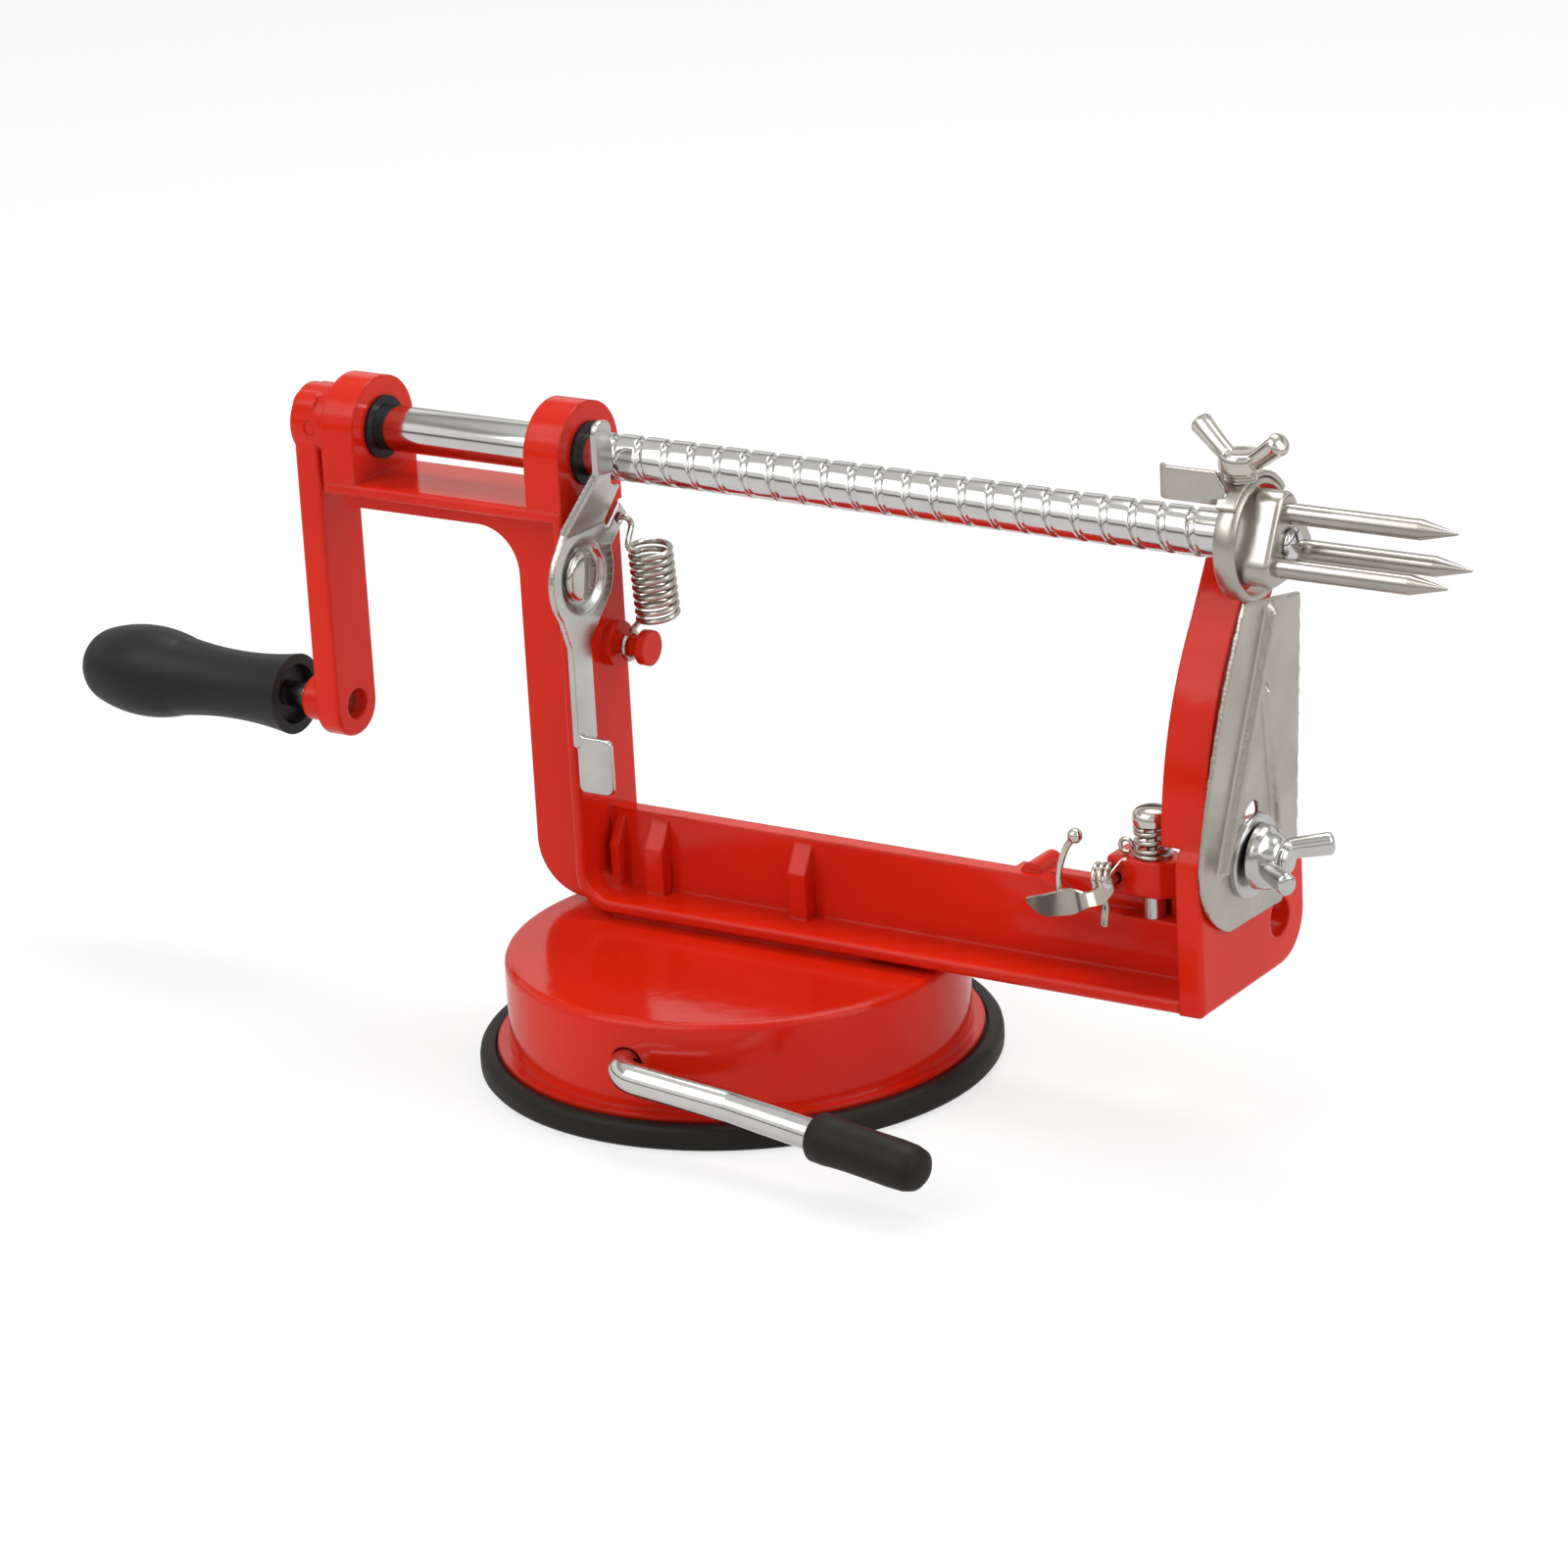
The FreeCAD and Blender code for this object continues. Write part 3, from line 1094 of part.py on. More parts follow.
def bore_frame(body):
    """Bores for the bushes, the screws, the bolt and whatever is hung in the end wall's ear."""
    bush_bore = s.bush_radius + s.running_gap
    for x, length in ((s.left_boss_x, s.left_boss_length), (column_boss_x, s.column_boss_length)):
        rod(body, "X", x, length, (s.shaft_y, s.shaft_z), bush_bore, cut=True)
    rod(body, "X", s.wall_x, s.wall_thickness, (s.ear_y, beam_foot + s.ear_height), s.ear_bore, cut=True)
    bolt_bore = s.bolt_radius + s.press_gap
    rod(body, "X", s.wall_x, s.wall_thickness, (s.bolt_y, s.bolt_z), bolt_bore, cut=True)
    for x in (s.first_rib_x, s.second_rib_x):
        rod(body, "Z", beam_foot, s.frame_screw_grip + s.face_gap, (x, rib_middle_y),
            s.frame_screw_radius + s.press_gap, cut=True)
    rod(body, "Z", window_floor - s.peeler_screw_grip, s.peeler_screw_grip, (s.peeler_x, s.peeler_y),
        s.peeler_screw_radius + s.press_gap, cut=True)
    rod(body, "Z", window_floor, s.spacer_height, (s.peeler_x, s.peeler_y), s.spacer_radius + s.post_gap,
        cut=True)
    screw_start = dish_face - s.pivot_screw_length
    rod(body, "X", screw_start, lever_back - screw_start, (s.pivot_y, s.pivot_z),
        s.pivot_screw_radius + s.press_gap, cut=True)


def make_bush(name, x, length):
    """Plain bush that turns with the shaft in its boss; its flange sits on the fork's side."""
    body = new_body(name)
    bore = s.shaft_radius + s.running_gap
    flange_end = length + s.bush_flange_thickness
    turn(body, "X", [(Length(0), bore), (flange_end, bore), (flange_end, s.bush_flange_radius),
                     (length, s.bush_flange_radius), (length, s.bush_radius), (Length(0), s.bush_radius)])
    return place(body, x, s.shaft_y, s.shaft_z)


# Feed shaft, fork and crank

def make_feed_shaft():
    """Shaft with a spiral feed groove, stepped down inside the crank's and the fork's hubs."""
    body = new_body("feed_shaft")
    total = s.fork_x - crank_hub_right
    turn(body, "X", pin_profile([(s.crank_hub_length, s.shaft_left_radius), (total, s.shaft_radius),
                                 (s.shaft_spigot_length, s.shaft_spigot_radius)], crank_hub_left))
    sketch = sketch_across(body, "Z")
    above = s.groove_depth / 2
    floor = s.shaft_radius - s.groove_depth
    slope = (s.groove_width - s.groove_floor) / 4
    draw(sketch, [(s.thread_start - s.groove_floor / 2, floor), (s.thread_start + s.groove_floor / 2, floor),
                  (s.thread_start + s.groove_width / 2 + slope, s.shaft_radius + above),
                  (s.thread_start - s.groove_width / 2 - slope, s.shaft_radius + above)])
    groove = body.newObject("PartDesign::SubtractiveHelix", "groove")
    groove.Profile = sketch
    groove.ReferenceAxis = (sketch, ["H_Axis"])
    groove.Mode = 0
    groove.Pitch = s.thread_pitch.number
    groove.Height = (s.thread_pitch * s.thread_turns).number
    groove.setExpression("Pitch", s.thread_pitch.text)
    groove.setExpression("Height", (s.thread_pitch * s.thread_turns).text)
    doc.recompute()
    spigot_end = s.fork_x + s.shaft_spigot_length
    depth = fork_face - s.fork_screw_length
    rod(body, "X", depth, spigot_end - depth, (0, 0), s.fork_screw_radius + s.press_gap, cut=True)
    pin_x = crank_hub_left + s.crank_hub_length / 2
    reach = s.crank_hub_radius * 2
    rod(body, "Y", -s.crank_hub_radius, reach, (pin_x, 0), s.crank_pin_radius + s.press_gap, cut=True)
    return place(body, 0, s.shaft_y, s.shaft_z)


def prong_angles():
    return [s.first_prong_angle + 120 * index for index in range(3)]


def make_fork_hub():
    """Rounded three-cornered hub with a socket for the shaft and three holes for the prongs."""
    body = new_body("fork_hub")
    reach = s.prong_circle + s.fork_corner * 2
    outline = [(reach * cosine(angle), reach * sine(angle)) for angle in prong_angles()]
    slab(body, "X", 0, s.fork_length, outline)
    for across, up in outline:
        round_edges(body, s.fork_corner, corner("X", across, up))
    rod(body, "X", 0, s.shaft_spigot_length + s.running_gap, (0, 0), s.shaft_spigot_radius + s.press_gap,
        cut=True)
    rod(body, "X", 0, s.fork_length, (0, 0), s.fork_screw_radius + s.press_gap, cut=True)
    for angle in prong_angles():
        middle = (s.prong_circle * cosine(angle), s.prong_circle * sine(angle))
        rod(body, "X", s.fork_length - s.prong_root, s.prong_root, middle, s.prong_radius + s.press_gap,
            cut=True)
    return place(body, s.fork_x, s.shaft_y, s.shaft_z)


def make_fork_prongs():
    """Three pointed prongs, pressed into the hub."""
    prongs = []
    straight = s.prong_root + s.prong_reach - s.prong_tip
    root_x = fork_face - s.prong_root
    for index, angle in enumerate(prong_angles()):
        body = new_body("prong_%d" % index, node=False)
        turn(body, "X", [(Length(0), Length(0)), (Length(0), s.prong_radius), (straight, s.prong_radius),
                         (straight + s.prong_tip, s.prong_tip_radius), (straight + s.prong_tip, Length(0))])
        prongs.append(place(body, root_x, s.shaft_y + s.prong_circle * cosine(angle),
                            s.shaft_z + s.prong_circle * sine(angle)))
    group("fork_prongs", prongs)


def make_fork_screw():
    """Screw that draws the fork's hub onto the shaft."""
    body = new_body("fork_screw")
    turn(body, "X", pin_profile([(s.fork_screw_length, s.fork_screw_radius),
                                 (s.fork_screw_head_length, s.fork_screw_head)], -s.fork_screw_length))
    head_edge = ring_edge("X", s.fork_screw_head_length, s.fork_screw_head)
    round_edges(body, s.fork_screw_head_length / 2, head_edge)
    return place(body, fork_face, s.shaft_y, s.shaft_z)


def make_crank_arm():
    """Flat arm from the shaft's hub down to the handle's boss."""
    body = new_body("crank_arm")
    half = s.crank_arm_width / 2
    end = -(s.crank_throw + half)
    arm = [(-half, half), (-half, end), (half, end), (half, half)]
    slab(body, "X", 0, s.crank_arm_thickness, arm)
    for across, up in ((-half, end), (half, end)):
        round_edges(body, half - s.face_gap, corner("X", across, up))
    for across, up in ((-half, half), (half, half)):
        round_edges(body, half / 2, corner("X", across, up))
    round_edges(body, s.arm_edge, in_plane("X", s.crank_arm_thickness))
    round_edges(body, s.arm_edge, in_plane("X", 0))
    rod(body, "X", 0, s.crank_hub_length, (0, 0), s.crank_hub_radius)
    rod(body, "X", -s.handle_boss_length, s.handle_boss_length + s.crank_arm_thickness / 2,
        (0, -s.crank_throw), s.handle_boss_radius)
    rod(body, "X", 0, s.crank_hub_length, (0, 0), s.shaft_left_radius + s.press_gap, cut=True)
    rod(body, "X", -s.handle_boss_length, s.handle_boss_length + s.crank_arm_thickness, (0, -s.crank_throw),
        s.spindle_foot_radius + s.press_gap, cut=True)
    rod(body, "Y", -s.crank_hub_radius, s.crank_hub_radius * 2, (s.crank_hub_length / 2, 0),
        s.crank_pin_radius + s.press_gap, cut=True)
    return place(body, crank_hub_left, s.shaft_y, s.shaft_z)


def make_crank_pin():
    """Straight pin that holds the crank on the shaft."""
    body = new_body("crank_fixing_pin")
    length = s.crank_hub_radius * 2 - s.face_gap
    rod(body, "Y", -length / 2, length, (0, 0), s.crank_pin_radius)
    return place(body, crank_hub_left + s.crank_hub_length / 2, s.shaft_y, s.shaft_z)


def make_handle_spindle():
    """Spindle fixed in the crank's arm; the grip turns on it."""
    body = new_body("handle_spindle")
    foot = s.crank_arm_thickness / 2 + s.handle_boss_length
    clip_start = s.spindle_showing + s.clip_recess_depth - s.clip_thickness - s.face_gap
    groove = s.clip_thickness + s.face_gap
    groove_radius = s.spindle_radius - s.clip_groove_depth
    rest = s.grip_length + s.spindle_showing - s.spindle_cover - clip_start - groove
    steps = [(rest, s.spindle_radius), (groove, groove_radius), (clip_start, s.spindle_radius),
             (foot, s.spindle_foot_radius)]
    turn(body, "X", pin_profile(steps, -(rest + groove + clip_start)))
    return place(body, handle_boss_left, s.shaft_y, handle_z)


def make_handle_grip():
    """Waisted grip with a round outer end, a blind bore and a recess for its clip."""
    body = new_body("handle_grip")
    bore = s.spindle_radius + s.running_gap * 3
    blind = -(s.grip_length - s.spindle_cover + s.face_gap)
    start = s.clip_recess_depth
    end = -s.grip_length
    profile = [(blind, Length(0)), (end, Length(0)),
               Arc((end + s.grip_tip_back, s.grip_tip_radius),
                   (end + s.grip_shoulder_back, s.grip_shoulder_radius)),
               Arc((end + s.grip_belly_back, s.grip_belly_radius),
                   (end + s.grip_swell_back, s.grip_swell_radius)),
               Arc((-s.grip_waist_place, s.grip_waist_radius), (Length(0), s.grip_end_radius)),
               (Length(0), s.clip_recess_radius), (-start, s.clip_recess_radius), (-start, bore),
               (blind, bore)]
    turn(body, "X", profile)
    return place(body, grip_right, s.shaft_y, handle_z)


def make_grip_clip():
    """Retaining washer pressed into the grip; it runs in the spindle's groove."""
    body = new_body("grip_clip")
    inner = s.spindle_radius - s.clip_groove_depth + s.running_gap * 2
    outer = s.clip_recess_radius - s.press_gap
    turn(body, "X", [(Length(0), inner), (s.clip_thickness, inner), (s.clip_thickness, outer),
                     (Length(0), outer)])
    return place(body, grip_right - s.clip_recess_depth, s.shaft_y, handle_z)


# Catch lever

def on_body(angle):
    """A place on the rim of the lever's round body."""
    return (s.lever_body_radius * cosine(angle), s.lever_body_radius * sine(angle))


def make_catch_lever():
    """Dished sheet lever with a thumb tab, an ear and a bent neck, drawn round its pivot."""
    body = new_body("catch_lever")
    hole = s.pivot_screw_radius + s.running_gap
    turn(body, "X", [(dish_back, hole), (dish_back, s.lever_dish_floor), (lever_back, s.lever_dish_radius),
                     (lever_back, s.lever_body_radius), (lever_face, s.lever_body_radius),
                     (lever_face, s.lever_dish_radius), (dish_face, s.lever_dish_floor), (dish_face, hole)])
    add_lever_shank(body)
    add_lever_neck(body)
    add_lever_head(body)
    add_lever_ear(body)
    return place(body, 0, s.pivot_y, s.pivot_z)


def add_lever_shank(body):
    """Shank below the round body and the thumb tab folded out of its front edge."""
    front = -s.lever_shank_front
    rear = front + s.lever_shank_width
    slab(body, "X", lever_back, s.lever_sheet,
         [(front, -s.lever_shank_drop), (rear, -s.lever_shank_drop), (rear, -s.lever_taper_drop),
          on_body(s.lever_taper_rear), on_body(s.lever_taper_front), (front, -s.lever_taper_drop)])
    left = lever_back + s.lever_sheet / 3
    right = left + s.lever_tab_width
    foot = -s.lever_tab_drop
    top = foot + s.lever_tab_height
    slab(body, "Y", front + s.lever_tab_inset, s.lever_sheet,
         [(left, foot), (right, foot), (right, top), (left, top)])
    for across, up in ((left, foot), (right, foot), (right, top)):
        round_edges(body, s.lever_tab_corner, corner("Y", across, up))


def add_lever_neck(body):
    """Flat root of the neck, then the sheet that leans out under the shaft and round its front."""
    front = -s.lever_neck_front
    bend = s.lever_bend_rise
    slab(body, "X", lever_back, s.lever_sheet,
         [on_body(s.lever_neck_from_front), (Length(0), s.lever_neck_root), on_body(s.lever_neck_from_rear),
          (s.lever_neck_rear, bend), (front, bend)])
    head_left = tooth_x - s.lever_sheet / 2
    half = s.lever_sheet / 2
    lean = [(lever_back, bend - s.lever_sheet), (lever_back, bend + half),
            (head_left, s.lever_lean_rise + half), (head_left + s.lever_sheet, s.lever_lean_rise + half),
            (head_left + s.lever_sheet, s.lever_lean_rise - half), (lever_face, bend - half),
            (lever_face, bend - s.lever_sheet)]
    slab(body, "Y", front, s.lever_neck_rear + s.lever_neck_front, lean)
    shaft = (s.shaft_y - s.pivot_y, s.shaft_z - s.pivot_z)
    clear = s.shaft_radius + s.lever_shaft_gap
    above = s.lever_head_rise + s.lever_sheet
    beyond = shaft[0] + clear * 2
    span = head_left + s.lever_sheet * 2 - lever_back
    slab(body, "X", lever_back, span,
         [(shaft[0] - clear, above), (beyond, above), (beyond, shaft[1]), (shaft[0] + clear, shaft[1]),
          Arc((shaft[0], shaft[1] - clear), (shaft[0] - clear, shaft[1]))], cut=True)
    outside = front * 2
    slab(body, "X", lever_back, span,
         [(outside, bend), (front, bend), (-s.lever_head_front, s.lever_lean_rise),
          (-s.lever_head_front, above), (outside, above)], cut=True)


def add_lever_head(body):
    """Upright head in front of the shaft, with the tooth that runs in the groove."""
    shaft = (s.shaft_y - s.pivot_y, s.shaft_z - s.pivot_z)
    front = -s.lever_head_front
    rear = shaft[0] - s.shaft_radius - s.lever_head_gap
    foot = s.lever_lean_rise - s.lever_sheet / 2
    slab(body, "X", tooth_x - s.lever_sheet / 2, s.lever_sheet,
         [(front, foot), (rear, foot), (rear, s.lever_head_rise), (front, s.lever_head_rise)])
    for across in (front, rear):
        round_edges(body, s.lever_head_corner, corner("X", across, s.lever_head_rise))
    tip = shaft[0] - s.shaft_radius + s.groove_depth - s.tooth_gap
    tip_half = s.groove_floor / 4
    root_half = s.groove_floor / 2
    root = rear - s.lever_sheet
    slab(body, "Z", shaft[1] - s.tooth_height / 2, s.tooth_height,
         [(tooth_x - root_half, root), (tooth_x + root_half, root), (tooth_x + root_half, rear),
          (tooth_x + tip_half, tip), (tooth_x - tip_half, tip), (tooth_x - root_half, rear)])


def add_lever_ear(body):
    """Ear for the spring's hook, behind the pivot."""
    along = (cosine(s.lever_ear_angle), sine(s.lever_ear_angle))
    root = (s.lever_ear_root_y, s.lever_ear_root_rise)
    tip = s.lever_ear_reach + s.lever_ear_tip
    half = s.lever_ear_half
    start = -s.lever_ear_half
    slab(body, "X", lever_back, s.lever_sheet,
         [(root[0] + along[0] * reach - along[1] * side, root[1] + along[1] * reach + along[0] * side)
          for reach, side in ((start, -half), (tip, -half), (tip, half), (start, half))])
    rod(body, "X", lever_back, s.lever_sheet, (ear_y - s.pivot_y, ear_z - s.pivot_z), s.lever_ear_hole,
        cut=True)


def make_pivot_screw():
    """Slotted shoulder screw of the catch lever."""
    body = new_body("catch_pivot_screw")
    turn(body, "X", pin_profile([(s.pivot_screw_length, s.pivot_screw_radius),
                                 (s.pivot_screw_head_length, s.pivot_screw_head)], -s.pivot_screw_length))
    round_edges(body, s.pivot_screw_head_length / 2,
                ring_edge("X", s.pivot_screw_head_length, s.pivot_screw_head))
    return place(body, dish_face, s.pivot_y, s.pivot_z)


def make_catch_spring():
    """Extension spring from the lever's ear down to the casting's stud."""
    radius = s.catch_coil_radius.number
    wire = s.catch_wire.number
    quarters = int(s.catch_quarters.number)
    x = s.catch_spring_x.number
    y = s.catch_spring_y.number
    foot = s.catch_spring_z.number
    base = V(x, y, foot)
    coil = helix_points(radius, s.catch_pitch.number, quarters, 2)
    edges = []
    for (start, leaving), (end, arriving) in zip(coil, coil[1:]):
        edges += biarc(base + start, leaving, base + end, arriving)
    first, first_heading = coil[0]
    last, last_heading = coil[-1]
    stud = V(s.column_x.number + s.stud_root_length.number + wire, s.stud_y.number, s.stud_z.number)
    loop = s.stud_neck_radius.number + wire
    start = base + first
    lead = wire * s.catch_hook_lead.number
    bend = wire * s.catch_hook_bend.number
    lower = [stud + V(0, -loop, loop / 2), stud + V(0, -loop, -loop), stud + V(0, loop, -loop),
             stud + V(0, loop, loop / 2), start - first_heading * lead, start]
    ear = V(lever_face.number, ear_y.number, ear_z.number)
    end = base + last
    upper = [end, end + last_heading * lead, ear + V(lead, wire / 2, 0),
             ear + V(-s.lever_sheet.number - wire / 2, 0, 0)]
    edges = bent_run(lower, bend) + edges + bent_run(upper, bend)
    least_gap(edges, wire / 2, "catch_spring")
    return shape_node("catch_spring", wire_solid(edges, wire / 2))


# Slicing plate, coring ring and their fasteners

def make_slicer_plate():
    """Sheet plate with a bowed cutting edge, a slot for its bolt and two pressed ribs."""
    body = new_body("slicer_plate")
    foot = s.plate_foot_z
    outline = [(s.plate_rear_top_y, s.plate_rear_top_z - foot), (s.plate_edge_top_y, s.plate_top_z - foot),
               Arc((s.plate_edge_mid_y, s.plate_edge_mid_z - foot),
                   (s.plate_edge_low_y, s.plate_edge_low_z - foot)),
               Arc((s.plate_heel_y, s.plate_heel_z - foot), (s.plate_foot_y, s.plate_heel_rise)),
               (s.plate_foot_corner_y, Length(0)),
               (s.plate_rear_low_y, s.plate_rear_low_z - foot)]
    slab(body, "X", 0, s.plate_thickness, outline)
    slot_half = s.plate_slot_half
    slot_foot = s.bolt_z - foot - s.plate_slot_half * 2
    slot = [(s.bolt_y - slot_half, slot_foot), (s.bolt_y + slot_half, slot_foot),
            (s.bolt_y + slot_half, s.plate_slot_top - foot), (s.bolt_y - slot_half, s.plate_slot_top - foot)]
    slab(body, "X", 0, s.plate_thickness, slot, cut=True)
    for across, up in slot:
        round_edges(body, slot_half - s.press_gap * 20, corner("X", across, up))
    add_plate_ribs(body, foot)
    return place(body, wall_face + s.plate_gap, 0, foot, V(0, 1, 0), s.plate_lean)


def add_plate_ribs(body, foot):
    """A raised rib along the cutting edge and a thin one that leans towards it."""
    start = s.plate_thickness / 2
    height = s.plate_thickness / 2 + s.plate_rib_height
    low_z = s.plate_rib_low_z - foot
    ribs = [(s.plate_rib_width / 2, s.plate_rib_low_y, s.plate_rib_top_y, s.plate_rear_top_z - foot),
            (s.plate_crease_width / 2, s.plate_crease_low_y, s.plate_crease_top_y,
             s.plate_crease_top_z - foot)]
    for half, low_y, top_y, top_z in ribs:
        slab(body, "X", start, height, [(low_y - half, low_z), (low_y + half, low_z), (top_y + half, top_z),
                                        (top_y - half, top_z)])


def make_coring_ring():
    """Thin ring that cuts out the core, with a tapped hole for the wing screw."""
    body = new_body("coring_ring")
    turn(body, "X", [(Length(0), s.ring_inner), (s.ring_length, s.ring_inner), (s.ring_length, ring_outer),
                     (Length(0), ring_outer)])
    rod(body, "Z", 0, ring_outer, (s.wing_screw_place, s.wing_screw_y - s.shaft_y),
        s.wing_screw_radius + s.press_gap, cut=True)
    return place(body, ring_x, s.shaft_y, s.shaft_z)


def make_guide_strap():
    """Sheet strap: a crown over the ring and an upright wall with a curled end in front."""
    inner = ring_outer
    outer = inner + s.strap_thickness
    body = new_body("guide_strap")
    middle = (s.strap_crown_start + s.strap_crown_end) / 2
    ends = (s.strap_crown_start, s.strap_crown_end)
    low = [(radius * cosine(ends[0]), radius * sine(ends[0])) for radius in (inner, outer)]
    high = [(radius * cosine(ends[1]), radius * sine(ends[1])) for radius in (inner, outer)]
    crown = [low[1], Arc((outer * cosine(middle), outer * sine(middle)), high[1]), high[0],
             Arc((inner * cosine(middle), inner * sine(middle)), low[0])]
    crown_x = ring_x - s.strap_crown_back
    slab(body, "X", crown_x, s.strap_crown_length, crown)
    front = s.strap_wall_y - s.shaft_y
    rear = front + s.strap_thickness
    left = ring_x - s.strap_wall_reach
    right = ring_x + s.strap_wall_overlap
    bend = left + s.strap_curl
    curl_in = s.strap_curl - s.strap_thickness
    reach = s.strap_curl * cosine(45)
    reach_in = curl_in * cosine(45)
    centre_y = front + s.strap_curl
    wall = [(right, front), (right, rear), (bend, rear),
            Arc((bend - reach_in, centre_y - reach_in), (bend - curl_in, centre_y)),
            (left, centre_y), Arc((bend - reach, centre_y - reach), (bend, front))]
    slab(body, "Z", s.strap_wall_bottom, s.strap_wall_height, wall)
    top = s.strap_wall_bottom + s.strap_wall_height
    beyond = right + s.strap_thickness
    slope_foot = s.strap_wall_bottom + s.strap_wall_height / 3
    slab(body, "Y", front - s.strap_thickness, s.strap_thickness * 3,
         [(right - s.strap_curl, top), (beyond, top), (beyond, slope_foot)], cut=True)
    rod(body, "X", crown_x, s.strap_crown_length, (0, 0), inner + s.press_gap, cut=True)
    rod(body, "Z", inner / 2, inner, (wing_screw_x, s.wing_screw_y - s.shaft_y),
        s.wing_screw_radius + s.running_gap, cut=True)
    return place(body, 0, s.shaft_y, s.shaft_z)


def wing_pair(name, radius, length, root, height, rise):
    """Two straight wings that rise from a hub."""
    wings = []
    for side, angle in ((1, 90 - rise), (-1, rise - 90)):
        wings.append(cylinder("%s_%s" % (name, "right" if side > 0 else "left"), radius, length,
                              root * side, 0, height, V(0, 1, 0), angle))
    return wings


def make_wing_screw():
    """Wing screw that clamps the strap on the ring."""
    strap_top = s.shaft_z + ring_outer + s.strap_thickness
    shank_foot = s.shaft_z + s.ring_inner + s.face_gap
    hub_foot = strap_top + s.wing_screw_lift
    hub = cylinder("wing_screw_hub", s.wing_hub_radius, s.wing_hub_height)
    collar = cylinder("wing_screw_collar", s.wing_screw_collar, s.wing_screw_lift - s.running_gap, 0, 0,
                      s.running_gap - s.wing_screw_lift)
    shank = cylinder("wing_screw_shank", s.wing_screw_radius, hub_foot - shank_foot + s.wing_hub_height / 2,
                     0, 0, shank_foot - hub_foot)
    wings = wing_pair("wing_screw_wing", s.wing_rod_radius, s.wing_rod_length, s.wing_rod_start,
                      s.wing_rod_height, s.wing_rod_angle)
    item = join("top_wing_screw", [hub, collar, shank] + wings)
    nodes.append(item)
    return place(item, wing_screw_x, s.wing_screw_y, hub_foot, V(0, 0, 1), s.wing_screw_turn)


def make_slicer_bolt():
    """Bolt through the end wall that carries the slicing plate."""
    body = new_body("slicer_bolt")
    turn(body, "X", pin_profile([(s.bolt_head_length, s.bolt_head_radius),
                                 (s.wall_thickness + s.bolt_reach, s.bolt_radius)], -s.bolt_head_length))
    round_edges(body, s.bolt_radius / 3, ring_edge("X", s.wall_thickness + s.bolt_reach, s.bolt_radius))
    return place(body, s.wall_x, s.bolt_y, s.bolt_z)


def plate_face_x(z):
    """Where the plate's outer face is at one height."""
    return (wall_face + s.plate_gap + s.plate_thickness / cosine(s.plate_lean)
            + (z - s.plate_foot_z) * sine(s.plate_lean) / cosine(s.plate_lean))


def make_slicer_washer():
    """Large washer that lies flat on the leaning plate."""
    body = new_body("slicer_washer")
    bore = s.bolt_radius + s.face_gap
    turn(body, "X", [(Length(0), bore), (s.washer_thickness, bore), (s.washer_thickness, s.washer_radius),
                     (Length(0), s.washer_radius)])
    round_edges(body, s.washer_thickness / 3, ring_edge("X", s.washer_thickness, s.washer_radius))
    return place(body, plate_face_x(s.bolt_z) + s.running_gap, s.bolt_y, s.bolt_z, V(0, 1, 0), s.plate_lean)


def make_slicer_nut():
    """Wing nut on the bolt."""
    lean_rise = s.nut_foot_radius * sine(s.plate_lean)
    foot = plate_face_x(s.bolt_z) + s.washer_thickness + lean_rise + s.running_gap * 2
    hub = cone("nut_hub", s.nut_foot_radius, s.nut_radius, s.nut_height)
    wings = wing_pair("nut_wing", s.wing_rod_radius, s.nut_wing_length, s.wing_rod_start + s.bolt_radius,
                      s.nut_height / 2, s.nut_wing_angle)
    bore = cylinder("nut_bore", s.bolt_radius + s.running_gap, s.nut_height * 3, 0, 0, -s.nut_height)
    solid = cut_out("nut_bored", join("nut_with_wings", [hub] + wings), bore)
    place(solid, 0, 0, 0, V(0, 0, 1), s.nut_turn)
    item = doc.addObject("Part::Compound", "nut_upright")
    item.Links = [solid]
    place(item, foot, s.bolt_y, s.bolt_z, V(0, 1, 0), 90)
    item.Label = "slicer_wing_nut"
    nodes.append(item)
    return item


# Peeler

